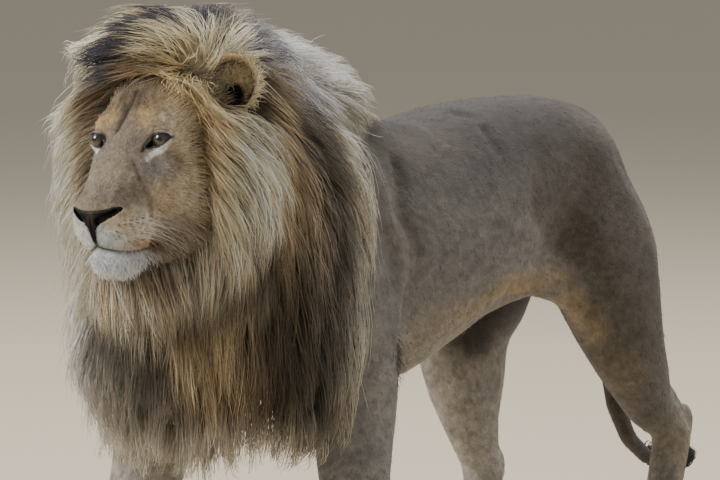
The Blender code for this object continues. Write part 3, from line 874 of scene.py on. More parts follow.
@dataclass
class BodyShape:
  """Trunk, legs, paws and tail as tubes and balls in the lion's space."""

  voxel: float = .0095
  coat: float = .004
  barrel: tuple = (  # y, middle height, half width, half height
    (-.42, .735, .085, .11), (-.35, .755, .15, .19), (-.22, .775, .185, .25), (-.06, .774, .198, .262),
    (.08, .762, .2, .24), (.22, .786, .196, .211), (.36, .826, .18, .194), (.48, .853, .16, .17),
    (.6, .866, .15, .154), (.71, .862, .136, .14), (.775, .848, .1, .12), (.825, .835, .058, .078),
  )
  tail: tuple = (  # y, z, radius
    (.76, .94, .05), (.828, .918, .045), (.88, .874, .036), (.908, .8, .028), (.925, .69, .023),
    (.905, .58, .021), (.9, .48, .019), (.925, .39, .0175), (.975, .318, .016), (1.04, .275, .015),
    (1.11, .256, .013), (1.176, .257, .002),
  )

  def trunk(self) -> list[Surface]:
    """Barrel, shoulder blades and haunches."""
    parts = [tube([(0, *ring) for ring in self.barrel], 32, 2.15)]
    for side in SIDES:
      parts += [
        ball((side*.12, -.19, .83), (.088, .12, .185)),
        ball((side*.094, .636, .8), (.086, .144, .18)),
        ball((side*.092, .51, .705), (.048, .085, .06)),
        tube(((side*.1, .3, .655, .04, .03), (side*.115, .44, .678, .035, .03),
           (side*.125, .54, .65, .035, .03), (side*.125, .62, .6, .04, .03)), 16),
      ]
    return parts

  def fore_leg(self, side: float, elbow: float, wrist: float, toes: float) -> list[Surface]:
    """Upper arm, forearm and paw of one foreleg, from the y of its elbow, wrist and toes."""
    x = side*.15
    rings = (
      (side*.135, elbow - .115, .79, .08, .12), (side*.148, elbow - .085, .7, .082, .128),
      (x, elbow - .05, .61, .074, .108), (x, elbow - .045, .53, .069, .095),
      (x, elbow - .05, .44, .064, .082), (x, (elbow - .045 + wrist)/2, .32, .055, .062),
      (x, wrist, .2, .047, .048), (x, wrist - .004, .15, .051, .05), (x, wrist - .018, .105, .053, .047),
      (x, wrist - .042, .065, .058, .045),
    )
    return [tube(rings)] + self.paw(x, toes, .066, .085, wrist - .03)

  def paw(self, x: float, toes: float, wide: float, long: float, heel: float) -> list[Surface]:
    """A broad pad with four rounded toes in an arc ahead of it."""
    middle = toes + long*.7
    parts = [
      ball((x, middle, .03), (wide*.92, long*.72, .036)),
      ball((x, (middle + heel)/2 + .012, .04), (wide*.78, long*.6, .043)),
    ]
    for place, ahead in TOES:
      toe_x = x + place*wide*.66
      toe_y = toes + .03 + (1 - ahead)*.042
      parts.append(ball((toe_x, toe_y, .026), (.0185, .034, .029), rows=14, columns=18))
      parts.append(ball((toe_x*.96 + x*.04, toe_y + .03, .044), (.0195, .03, .024), rows=14, columns=18))
    return parts

  def hind_leg(self, side: float, knee: tuple, hock: tuple, foot: tuple, slim: float = 0,
        full: float = 0) -> list[Surface]:
    """Thigh, shank, hock and foot, each joint as (y, z); slim draws the front in, full lets the back out."""
    x = side*.128
    (knee_y, knee_z), (hock_y, hock_z), (foot_y, foot_z) = knee, hock, foot

    def shank(share: float, back: float) -> Triple:
      """A place on the way from knee to hock."""
      return (x, knee_y + (hock_y - knee_y)*share + back, knee_z + (hock_z - knee_z)*share)

    rings = (
      (side*.1, .669, .84, .078, .129), (side*.114, .661, .76, .088, .155),
      (side*.124, .35*knee_y + .65*.683 + full*.8, .68, .086, .154 + full*.8),
      (side*.13, .68*knee_y + .32*.712 + slim*.6 + full*1.6, .6, .078, .136 - slim*.6 + full*1.6),
      (side*.134, knee_y + .042 + slim + full*1.9, knee_z + .005, .068, .106 - slim + full*1.9),
      (*shank(.3, .022 + slim + full*1.5), .06, .086 - slim*.8 + full*1.5),
      (*shank(.62, .004 + full*.9), .047, .056 + full*.9),
      (*shank(.88, .004 + full*.25), .038, .044 + full*.25), (x, hock_y + .004, hock_z - .012, .038, .052),
      (x, hock_y*.75 + foot_y*.25, hock_z*.75 + foot_z*.25 - .01, .037, .047),
      (x, hock_y*.45 + foot_y*.55, hock_z*.45 + foot_z*.55, .037, .038),
      (x, foot_y + .004, foot_z + .03, .043, .037), (x, foot_y - .03, foot_z - .002, .05, .034),
    )
    tendon = (
      (x, hock_y + .05, hock_z + .01, .017, .017),
      (x, hock_y*.55 + knee_y*.45 + .062, hock_z*.55 + knee_z*.45 + .03, .019, .022),
      (*shank(.22, .085), .03, .034),
    )
    heel = ball((x, hock_y + .046, hock_z + .012), (.024, .026, .044))
    return [tube(rings), tube(tendon, 14), heel] + self.paw(x, foot_y - .11, .058, .08, foot_y)

  def parts(self) -> list[Surface]:
    """Every form of the body."""
    fuller = [(y, z, r + .006*(z < .7)) for y, z, r in self.tail]
    return [
      *self.trunk(),
      *self.fore_leg(1, -.112, -.16, -.3),
      *self.fore_leg(-1, -.29, -.435, -.575),
      *self.hind_leg(1, (.705, .505), (.925, .35), (.85, .05), .018),
      *self.hind_leg(-1, (.51, .535), (.65, .275), (.57, .05), full=.016),
      tube([(0, y, z, r, r) for y, z, r in fuller], 16),
    ]


BODY_FOLDS = tuple(Fold(*row, (flip,)) for row in (
  ((.16, -.045, .93, .2, -.075, .85, .2, -.044, .8, .2, -.04, .75, .2, -.055, .7, .19,
    -.095, .65), -.009, .015),
  ((.17, -.12, .9, .195, -.125, .85, .2, -.095, .8, .2, -.088, .75, .2, -.095, .7, .2,
    -.13, .65), .008, .022),
  ((.055, .29, .996, .081, .304, .981, .114, .287, .957, .125, .282, .945), -.0085, .01),
  ((.108, .302, .973, .133, .29, .945, .142, .284, .928), -.0085, .009),
  ((.1, .29, .97, .128, .282, .94), .004, .009),
  ((.15, .425, .93, .175, .37, .86, .175, .375, .81, .15, .45, .765), -.005, .024),
  ((.17, .12, .6, .165, .3, .655, .15, .44, .7), .004, .02),
  ((.17, .5, .86, .19, .56, .78, .195, .64, .68), .005, .04),
  ((.155, .69, .9, .165, .75, .8, .165, .78, .68), -.005, .022),
) for flip in ((1, 1, 1), (-1, 1, 1)))

BODY = BodyShape()


# ---------------- mane shape

def head_sized(centre: tuple, radii: tuple) -> tuple[tuple, tuple]:
  """A middle and radii given in head centimetres, carried into the lion's space."""
  return tuple(from_head(array(centre))), (radii[1]*CM, radii[0]*CM, radii[2]*CM)


def head_oval(centre: tuple, radii: tuple) -> Oval:
  """An ellipsoid given in head centimetres, as a field in the lion's space."""
  return Oval(*head_sized(centre, radii), yaw=HEAD_YAW)


@dataclass
class ManeShape:
  """The outline of the mane out to the tips of the hair, and the padded form under it."""

  blend: float = .022
  forms: tuple = (  # form, depth of the hair over it
    (head_oval((-14.5, -1.5, 4), (12.5, 19.5, 16.5)), .045),  # crown
    (head_oval((-21, 2, 7), (13, 14.5, 14.5)), .03),  # crest
    (head_oval((-11, -1.5, 12.5), (10, 14.5, 8.5)), .03),  # parting
    (head_oval((-4.5, -3.5, 15.5), (7.5, 13.5, 6)), None),  # forelock
    (head_oval((-2.5, 0, -25), (8, 10, 8)), .045),  # beard
    (Oval((0, -.31, .9), (.232, .25, .22)), .045),  # neck
    (Oval((0, -.12, 1.01), (.13, .15, .12)), .028),  # nape
    (Oval((0, -.27, 1.06), (.14, .17, .12)), .03),  # crest of the neck
    (Oval((-.01, -.43, .67), (.215, .2, .225)), .055),  # chest
    (head_oval((-11, 12.5, -9), (8.5, 9.5, 18)), .042),  # cheeks
    (head_oval((-11, -12.5, -9), (8.5, 9.5, 18)), .042),
    (Oval((.125, -.285, .77), (.12, .14, .27)), .042),  # capes
    (Oval((-.125, -.27, .77), (.12, .15, .27)), .042),
    (Oval((.12, -.3, .62), (.11, .13, .16)), .045),  # over the elbows
    (Oval((-.13, -.36, .64), (.115, .15, .18)), .045),
  )

  def outside(self, points: Array) -> Array:
    """The field of the hair's outline, in metres, negative inside."""
    return melted([form.distance(points) for form, _ in self.forms], self.blend)

  def under(self, points: Array) -> Array:
    """The field of the padded form under the hair."""
    return melted([form.drawn_in(depth).distance(points) for form, depth in self.forms if depth],
        self.blend*.7)

  def padding(self) -> list[Surface]:
    """The padded form as balls, for the skin."""
    small = [form.drawn_in(depth) for form, depth in self.forms if depth]
    return [ball(form.centre, form.radii, form.yaw, 22, 30) for form in small]


MANE = ManeShape()


# ---------------- markings and painted shade

def seen_distance(points: Array, line: Array) -> Array:
  """Distance from each point to a bent line as both are seen from the head's heart.

  It is the gap on a ball of radius 1 about the heart, times the point's own distance.
  """
  away = points - array(HEAD.heart)
  return size_of(away)*line_distance(unit(away), unit(line - array(HEAD.heart)))


@dataclass(frozen=True)
class Mark:
  """A soft oval or bent line of colour: strength times exp(-q^2), q the distance over its size."""

  place: tuple  # the middle of an oval, or three numbers for each point of a line
  size: tuple | float  # three radii, or the width of a line
  colour: tuple
  strength: float
  twin: bool = False  # on both sides
  edge: tuple = ()  # height and y of places on an edge that the mark lies behind
  side_axis: int = 0
  seen: bool = False  # whether a line's distance is taken as seen from the head's heart

  def weight(self, points: Array) -> Array:
    """How strongly the mark colours each point."""
    if self.twin:
      points = points.copy()
      points[:, self.side_axis] = np.abs(points[:, self.side_axis])
    if isinstance(self.size, tuple):
      weight = self.strength*near(points, self.place, self.size)
    else:
      gap = (seen_distance if self.seen else line_distance)(points, points_of(self.place))
      weight = self.strength*exp(-(gap/self.size)**2)
    if self.edge:
      heights, places = self.edge[::2], self.edge[1::2]
      weight = weight*ramp(-.03, .03, points[:, 1] - interp(points[:, 2], heights, places))
    return weight


def marks(side_axis: int, seen: bool, text: str) -> list[Mark]:
  """Marks from rows of place, size, red, green, blue, strength and 1 for both sides.

  Args:
    side_axis: the axis that a mark on both sides is mirrored along.
    seen: whether lines are measured as seen from the head's heart.
    text: the rows; a bar and an edge may follow a row.

  Returns:
    The marks in order.
  """
  made = []
  for row in text.split(";"):
    numbers, edge = (tuple(map(float, part.split())) for part in (row + "|").split("|")[:2])
    *form, red, green, blue, strength, twin = numbers
    place, size = (form[:3], tuple(form[3:])) if len(form) == 6 else (form[:-1], form[-1])
    made.append(Mark(tuple(place), size, (red, green, blue), strength, bool(twin), edge, side_axis, seen))
  return made


BODY_BASE = (106, 101, 96)
# Painted shade among these rows: the dark haunch patch lying behind the haunch's edge (72 63 53) is partly
# darker coat and partly painted shade; the two dark strokes in the loin folds (60 55 50 and 58 53 48) are
# painted shade in the creases; the two near-black patches at the top of the right thigh under the belly (30
# 26 26 and 32 27 20) are painted shadow
BODY_MARKS = marks(0, False, """
  0 .25 1.01 .2 .7 .095 50 43 37 10 0; .12 .08 .955 .08 .16 .035 100 84 70 1.8 1;
  .063 .161 .979 .083 .157 .972 .104 .154 .961 .12 .161 .949 .009 130 118 102 1.6 1;
  .15 .58 .84 .14 .26 .2 72 63 53 5 1 | .7 .56 .735 .5 .765 .455 .81 .376 .85 .352 .88
   .371 .915 .406 .95 .422 1 .47; .12 .67 .965 .07 .1 .035 122 113 102 3 1;
  .17 .15 .648 .168 .2 .664 .168 .25 .679 .156 .32 .687 .143 .4 .684 .13 .47 .69 .13
   .52 .68 .146 .535 .645 .151 .57 .612 .166 .61 .572 .017 134 113 78 2.4 1;
  .15 .27 .672 .145 .34 .679 .139 .41 .676 .01 150 126 84 2 1;
  .134 .526 .635 .13 .578 .599 .138 .62 .562 .016 158 141 118 2.6 1;
  .068 .302 .99 .098 .295 .971 .114 .287 .957 .125 .282 .945 .008 60 55 50 2 1;
  .108 .302 .973 .133 .29 .945 .142 .284 .928 .007 58 53 48 2.2 1;
  0 .15 .565 .17 .45 .07 166 156 140 2.6 0; .15 .1 .64 .06 .12 .035 142 126 104 1.8 1;
  0 .56 .66 .09 .1 .1 150 136 116 2 0; .18 .71 .59 .09 .085 .11 62 53 44 5 1;
  .16 .69 .485 .06 .05 .055 124 113 94 3 1; .13 .84 .43 .08 .1 .1 86 80 70 2.2 1;
  .13 .93 .35 .07 .05 .06 134 123 104 4 1; .13 .8 .1 .1 .2 .13 130 120 104 2 1;
  -.13 .56 .34 .07 .2 .26 164 158 148 4 0; -.072 .54 .572 .045 .042 .036 30 26 26 40 0;
  .15 -.16 .42 .1 .13 .22 120 118 116 3 1; -.15 -.33 .4 .07 .14 .22 176 170 160 4 0;
  .15 -.3 .08 .1 .2 .1 146 137 122 1.8 1;
  .17 -.115 .9 .195 -.12 .85 .2 -.088 .8 .2 -.08 .75 .2 -.088 .7 .2 -.125 .65 .018 118
   110 100 1.4 1; -.07 .61 .635 .07 .12 .048 32 27 20 30 0;
  .18 -.1 .77 .09 .05 .12 86 79 70 2 1; 0 .93 .48 .04 .08 .22 58 49 41 6 0;
  0 1.1 .26 .05 .09 .05 26 25 28 9 0""")
FACE_BASE = (168, 152, 130)
# Painted shade among these rows: the two grey lines down the muzzle fold from beside the inner eye corner
# (122 109 102 and 118 100 94) are painted shadow of the fold, and the dark brown band at the top of the
# forehead (66 52 38) is painted shadow under the forelock
FACE_MARKS = marks(1, True, """
  6.4 0 -4.5 4.5 3 6 146 133 111 3 0; 8.5 0 -8.6 2.6 5 1.7 100 90 78 3.6 0;
  0 0 7.5 4 6.5 4.2 132 112 84 2.8 0; 2.6 2.6 .4 1.6 1.2 2.6 128 116 102 3 1;
  1 3.6 4.2 1.4 1.2 1.4 234 196 134 4.5 1; -.6 4.6 6.2 1.6 1.6 2 206 178 132 3 0;
  1.2 3.7 3.6 1 .45 .6 106 70 38 1.8 1; .4 -6.4 4 1.8 1.6 1.8 220 184 124 4 0;
  10.2 1.8 -15.4 2.4 2.6 1.35 206 216 222 8 1; 9.4 -3.6 -15 2.4 2 2.2 255 255 255 12 0;
  9 5 -12.6 2.2 1.6 1.4 244 222 186 3.4 1; 6.4 6 -13.6 2.8 1.8 1.8 255 244 222 7 1;
  5.4 5.2 -16.6 2.4 1.6 .9 172 136 94 3.4 1; 3 5.8 -16.8 1.2 1.3 .7 124 86 48 6 1;
  6.4 -1.2 -20 4.2 4.2 2.2 232 242 255 24 0; 2.4 6.4 -4.6 2 2.2 1.8 162 160 158 4 1;
  -.8 8.6 -3.6 1.6 2.2 2 128 114 98 4 1; 1 7.2 -9.6 2.8 2.4 2.8 226 204 168 3 1;
  -3 9.6 -8 3.6 2.4 4 240 226 198 4 1; -7.6 9.6 -5 2.8 3 7 228 202 160 4 1;
  -4.5 9 1.5 3.6 3 4 238 224 196 5 1; -1.6 8 -13.8 3 2.4 1.6 176 162 148 2.6 1;
  .4 7.2 -18.2 3 2.4 2 140 124 106 2.8 1; -6 8.6 7 4.5 3.5 5.5 244 220 178 6 1;
  -3.8 8.6 .8 2.4 2.4 3.6 236 214 178 9 0; -3 .5 11.8 3 5.5 1.5 66 52 38 7 0;
  3.2 5.4 -3 2.5 5.5 -2.45 1.7 5.9 -2 1.4 6.4 -1.75 1.3 7 -1.4 1 7.6 -.9 .7 8 -.3 .4 8.2 .2 .27 255
   252 246 45 1; 4.3 2.4 -.8 4.8 3.6 -2.4 5.2 4.6 -4 .85 122 109 102 2.6 1;
  5.2 5.1 -6.2 4.3 6 -8.2 3.7 6.2 -9.9 3.7 6.1 -11.2 .42 118 100 94 2.6 1;
  9.8 4.6 -11.3 8.2 5.4 -11.4 6.6 5.8 -11.4 .3 128 92 60 1.8 1;
  10.2 4.6 -13.3 8 5.9 -13.2 5 6.2 -13.2 .16 176 132 84 2.4 1;
  10.2 4.3 -14.3 8.2 5.6 -14.1 5 6.2 -14.2 .16 176 132 84 2.4 1;
  -.6 -4.6 6.2 .2 -5.6 4.7 .1 -6.6 3.6 .45 72 54 38 4 0;
  -.9 2 8.4 -.2 2.7 6.2 .2 3.2 4.8 .42 70 52 36 4 0;
  -1.2 3.8 8 -.6 4.6 6.2 0 5.6 4.6 .36 84 62 42 3 0;
  -.8 -1.8 8.2 -.1 -2.6 6 .6 -3.2 4.2 .36 84 64 44 3 0;
  -1.6 5.2 7.4 -1 6.2 5.4 -.6 7.2 3.8 .45 112 90 64 2.2 1; -.6 -1.6 7.4 .4 -1.2 5.4 .5 60 44 30 6 0;
  -.8 1 7.8 -.2 1.4 6.4 .5 60 44 30 6 0""")
# Among these dark lines the mouth, philtrum and tear stripe are the coat's own black; the lines along the
# brow furrow, the muzzle fold and under the brow ridge are painted shade in those creases
FACE_LINES = tuple(Mark(line, width, (0, 0, 0), strength, bool(twin), (), 1, True)
         for line, width, strength, twin in (  # dark lines
  (MOUTH_LINE, .3, 1, 1), (PHILTRUM, .62, 1, 0), (TEAR_LINE, .42, 1, 1), (BROW_FURROW, .34, .85, 0),
  (MUZZLE_FOLD[1:4], .3, .5, 1), ((2, 4.4, 1.5, 1.5, 5.2, 1.9, 1.1, 6.4, 2, .2, 7.8, 1.5), .16, .45, 1),
  ((-3.7, 8.9, -1.7, -3.7, 8.9, -2.5), .22, .55, 0),
  ((-.5, 8.6, -3.1, -1.3, 8.8, -3.6), .34, .32, 0), ((1.4, 7.2, -5.8, 1.3, 7.2, -6.1), .26, .42, 0),
))
WHISKER_ROWS = (  # the rows that the whiskers and their dark spots stand in
  (9.4, 5, -12.1, 8.4, 5.5, -12.1, 7.3, 5.8, -12.1, 6.2, 6, -12.1, 4.3, 6.2, -12.1),
  (10.3, 4.4, -12.9, 9.5, 5, -12.8, 8.7, 5.5, -12.8, 7.6, 5.9, -12.8, 6.3, 6.1, -12.9, 4.6, 6.2, -12.9),
  (10.4, 4, -13.9, 9.6, 4.9, -13.7, 8.4, 5.7, -13.6, 7, 6, -13.6, 5.5, 6.1, -13.7),
  (10, 4.1, -14.7, 9.1, 5, -14.6, 8, 5.6, -14.5, 6.6, 5.9, -14.5, 5.2, 6, -14.6),
  (8.5, 4.8, -15.6, 7.2, 5.4, -15.5, 5.8, 5.6, -15.5),
)
MANE_BASE = (150, 130, 104)
# Painted shade among these rows: the dark brown band on the forelock's lower edge (112 90 60) is partly brown
# hair and partly painted shade under the forelock; the near-black line behind the ear (12 10 11) is partly
# the ear's black fur and partly painted shade behind it; the dark brown patch under the jaw (104 78 54) is
# painted shadow
MANE_HEAD_MARKS = marks(1, False, """
  -4 -3 16.8 7 10 3 240 222 178 3 0; .5 1 13.2 4 7 2 112 90 60 6 0;
  -4 -9.8 12.4 -1.6 -7.4 13.9 -1.2 -6.2 15.4 -2.2 -5.8 17.2 -4.4 -5.4 18.8 -5.2 -2 20.4 -11 0 21.4 -17 3.5
   21.6 2.3 50 52 66 130 0; -.5 1 17 -5 3.6 18.6 -9.5 5.4 18.8 -11.5 8.8 18.4 2 252 238 202 14 0;
  -8 6.6 14.4 -4.6 5.4 12.4 -2.6 6 10.2 1.9 238 210 162 12 0; -10 9 15 8 7 5 252 238 206 4.5 0;
  -6 7.5 9 3.5 3.5 5 232 202 150 3 0;
  -3 -11 6 -3.2 -12.6 1 -3.4 -13 -2.5 -3.8 -12.6 -5.5 -3.4 -12.6 -9 1.9 92 60 32 30 0;
  -6 -18 2 7 4.8 16 255 244 214 30 0; -5 -17 -18 7 4.5 9 252 242 218 12 0;
  -7 11 -1 4.5 3.5 6 228 190 136 3 0; -5 10.5 -12 3.5 3.2 8 214 194 162 2.6 0;
  -8 15.5 -10 4.5 4.5 12 244 224 190 4 0; -9.5 19.5 -8 4 3.5 13 255 246 224 5 0;
  -5 12 -22 6 6 6 236 226 206 3.2 0; 1 -2 -27 6 9 5 224 212 188 3.4 0;
  -17.8 14.6 7.6 -17.2 14.4 5.4 -15.4 14.9 3.2 1.3 12 10 11 120 0;
  .5 6.5 -23.5 4 3.2 2.6 104 78 54 3.6 0""")
MANE_BODY_MARKS = marks(0, False, """
  .17 -.37 .92 .09 .05 .16 206 184 150 2.6 0; .18 -.33 .8 .09 .05 .22 170 154 134 2.4 0;
  .19 -.31 .66 .09 .09 .13 62 58 52 6 0; -.19 -.22 .75 .09 .12 .28 118 110 100 2.4 0;
  .19 -.2 .72 .09 .045 .19 232 222 202 12 1; .17 -.14 .92 .09 .05 .14 212 204 188 6 1;
  .13 -.52 .635 .045 .07 .055 184 166 132 5.5 0;
  .205 -.46 .8 .188 -.492 .742 .158 -.551 .703 .12 -.575 .682 .02 46 36 26 18 0;
  -.06 -.6 .66 -.02 -.62 .64 .015 -.62 .625 .05 -.6 .6 .022 44 40 32 10 0;
  .19 -.42 .66 .04 .06 .08 78 68 54 5 0; -.04 -.6 .6 .09 .1 .12 158 152 142 2.4 0;
  -.09 -.58 .66 .08 .08 .07 140 138 134 3.6 0; .03 -.58 .54 .05 .1 .07 116 110 102 2.2 0;
  -.2 -.52 .62 .07 .1 .14 252 248 238 7 0; .09 -.17 1.09 .07 .07 .05 255 253 246 16 0;
  .1 -.23 1.07 .07 .07 .05 214 212 216 7 0; .13 -.365 1.15 .05 .05 .04 128 130 138 7 0;
  .115 -.185 1.065 .04 .03 .025 92 90 86 9 0;
  .165 -.29 1.03 .2 -.32 .98 .207 -.31 .93 .214 -.292 .888 .222 -.275 .83 .225 -.3 .76
   .225 -.32 .68 .22 -.335 .6 .034 104 99 91 9 0;
  .105 -.12 1.05 .14 -.13 .99 .2 -.185 .94 .215 -.18 .88 .226 -.215 .8 .226 -.245 .72
   .228 -.262 .64 .22 -.27 .57 .024 196 190 178 14 0;
  .05 -.12 1.05 .1 .08 .08 240 232 214 3.6 0; 0 -.45 .46 .25 .2 .035 210 202 186 3.4 0""")


def mixed(base: tuple, start: float, *lists: tuple) -> Array:
  """Colour at each point: the base and every mark in proportion to their weights.

  Args:
    base: the colour where no mark reaches.
    start: the base's own weight.
    *lists: pairs of marks and the points in the marks' space.

  Returns:
    Linear colours.
  """
  count = len(lists[0][1])
  total = np.full(count, float(start))
  colour = start*np.tile(tone(*base), (count, 1))
  for listed, points in lists:
    for mark in listed:
      weight = mark.weight(points)
      colour += weight[:, None]*tone(*mark.colour)
      total += weight
  return colour/total[:, None]


def coat_colour(points: Array) -> Array:
  """The short coat's markings and painted shade at points in the lion's space."""
  face_places = to_face(points)
  face = mixed(FACE_BASE, 1, (FACE_MARKS, face_places))
  body = mixed(BODY_BASE, 1, (BODY_MARKS, points))
  nearness = ramp(3, -3, HEAD.distance(face_places) - 1)[:, None]
  body_grain = 1 + .4*cloud(points*[1, .55, 1], .006) + .16*cloud(points*[1, .6, 1], .026, 1)
  face_grain = 1 + .26*cloud(points, .0042, 2) + .15*cloud(points, .013, 3)
  colour = blended(body*body_grain[:, None], face*face_grain[:, None], nearness)
  near = np.flatnonzero(HEAD.distance(face_places) < 2)
  shade = zeros(len(points))
  places = face_places[near]
  marks = [line.weight(places) for line in FACE_LINES] + [.72*whisker_spots(places)]
  marks += [.9*ramp(-.36, -.16, eye.depth_inside(places)) for eye in EYES]
  shade[near] = clip(maximum.reduce(marks), 0, 1)
  return blended(colour, tone(24, 19, 17), shade)


def whisker_spots(places: Array) -> Array:
  """Dark spots at the roots of the whiskers, drawn out a little backwards."""
  spots = concatenate([points_of(row) for row in WHISKER_ROWS])
  spots = concatenate([spots, flipped(spots, -1)])
  weight = zeros(len(places))
  near = np.flatnonzero((np.abs(places[:, 2] + 13.6) < 3) & (places[:, 0] > 2))
  for spot in spots:
    line = array([spot, spot - [.65, 0, -.06]])
    weight[near] = maximum(weight[near], exp(-(seen_distance(places[near], line)/.15)**2))
  return weight


def mane_colour(points: Array) -> Array:
  """The mane's markings and painted shade at points in the lion's space."""
  return mixed(MANE_BASE, .35, (MANE_HEAD_MARKS, to_head(points)), (MANE_BODY_MARKS, points))


# ---------------- skin

@dataclass
class Skin:
  """One skin for all the flesh, from the muzzle to the tip of the tail."""

  broad_rounds: int = 33

  def softness(self, points: Array) -> Array:
    """Broad smoothing over the trunk and upper legs only."""
    weight = clip((points[:, 2] - .42)/.16, 0, 1)
    return np.where((points[:, 1] > .87) & (np.abs(points[:, 0]) < .06), 0, weight)

  def body(self) -> Surface:
    """Body and padded mane fused, softened, folded and drawn in by the coat."""
    whole = fused(BODY.parts() + MANE.padding(), BODY.voxel).smoothed(4)
    whole = whole.smoothed(self.broad_rounds, self.softness(whole.points))
    normals = whole.normals()
    lift = sum(fold.height(whole.points) for fold in BODY_FOLDS) - BODY.coat
    points = whole.points + normals*lift[:, None]
    points[:, 2] = maximum(points[:, 2], .0015)
    return whole.moved(points)

  def build(self) -> Surface:
    """Joins body, head and ears into one piece, colours it, and returns its surface."""
    body = self.body()
    head = HeadSurface().surface()
    head = head.moved(from_face(head.points))
    body.points, head.points = EARS.cleared(body.points), EARS.cleared(head.points)
    ears = [EARS.surface(side) for side in SIDES]
    whole = total_of([body, head, *ears])
    colour = coat_colour(whole.points)
    # Skin under the mane is painted half as bright as the mane above it: painted shade beneath the hair, full
    # on the body and weaker on the head
    under = ramp(-.004, -.02, MANE.outside(whole.points))*(MANE.under(whole.points) < .03)
    own = zeros(len(whole.points), bool)
    own[:len(body.points)] = True
    under = np.where(own, under, .6*under)[:, None]
    colour = blended(colour, .5*mane_colour(whole.points), under)
    start = len(body.points) + len(head.points)
    for side, ear in zip(SIDES, ears):
      span = slice(start, start + len(ear.points))
      colour[span] = self.ear_colour(side, ear.points)
      start += len(ear.points)
    piece = mesh_piece("skin", whole)
    give_colour(piece, colour)
    dressed(piece, SKIN_FUR, Slot.COAT)
    flesh = [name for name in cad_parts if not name.startswith(("eye_", "nose"))]
    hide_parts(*flesh)
    return whole

  def ear_colour(self, side: float, points: Array) -> Array:
    """Golden rim and front, painted shade in the hollow, black back."""
    local = EARS.local(side, points)
    inner = arange(len(points)) > EARS.columns*12
    back = ramp(-.004, -.016, local[:, 1])*~inner
    # deep: painted shade, near black, over the ear's hollow where the canal lies in shadow
    deep = ramp(.026, .018, hypot(local[:, 0], local[:, 2] + .017))*inner
    colour = blended(np.tile(tone(214, 190, 150), (len(points), 1)), tone(24, 21, 21), back)
    return blended(colour, tone(14, 11, 9), deep)


# ---------------- eyes, nose, whiskers, claws

@dataclass
class Eyeball:
  """One wet eyeball with a bulging cornea, an olive iris and a round pupil."""

  opening: EyeOpening
  node: str
  rows: int = 64
  columns: int = 72
  iris: float = 1.26  # centimetres from the gaze axis
  pupil: float = .46

  def build(self) -> Piece:
    """A ball about the gaze axis; polar angle p, with the cornea raised by 0.11 (1 - (p / edge)^2)."""
    gaze, out, rise = self.opening.axes(self.opening.look)
    edge = math.asin(self.iris*1.08/EYE_RADIUS)
    share = (arange(self.rows) + .5)/self.rows
    polar = pi*(.55*share + .45*share**2)[::-1, None]
    turn = linspace(0, tau, self.columns, endpoint=False)[None, :]*self.opening.side
    reach = EYE_RADIUS - .04 + .11*clip(1 - (polar/edge)**2, 0, 1)
    local = (gaze*(cos(polar)*reach)[..., None]
        + out*(sin(polar)*reach*cos(turn))[..., None]
        + rise*(sin(polar)*reach*sin(turn))[..., None])
    surface = grid_surface(from_face(self.opening.centre() + local))
    piece = mesh_piece(f"eyeball_{self.node.split('_')[1]}", surface)
    give_colour(piece, self.colours(surface.points, gaze, out, rise))
    dressed(piece, WET_EYE, Slot.EYE)
    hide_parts(self.node)
    return piece

  def colours(self, points: Array, gaze: Array, out: Array, rise: Array) -> Array:
    """Pupil, olive ring with fine spokes, its dark edge, brown-white beyond, and the lid's shade above."""
    local = to_face(points) - self.opening.centre()
    reach = hypot(local @ out, local @ rise)
    angle = arctan2(local @ rise, local @ out)
    front = local @ gaze > 0
    spokes = 1 + .14*sin(angle*23) + .1*sin(angle*41 + 2)
    colour = blended(tone(80, 68, 44), tone(58, 50, 33), ramp(self.pupil, self.iris, reach))*spokes[:, None]
    white = tone(70, 58, 50)
    for ring, low, high in ((tone(20, 16, 13), self.iris - .24, self.iris - .02),
                (white, self.iris, self.iris + .12),
                (tone(4, 4, 4), self.pupil + .05, self.pupil - .02)):
      colour = blended(colour, ring, ramp(low, high, reach))
    colour = np.where(front[:, None], colour, white)
    _, lid_out, lid_rise = self.opening.axes()
    top, _ = self.opening.arcs(local @ lid_out)
    return colour*(1 - .8*ramp(.85, .05, top - local @ lid_rise))[:, None]


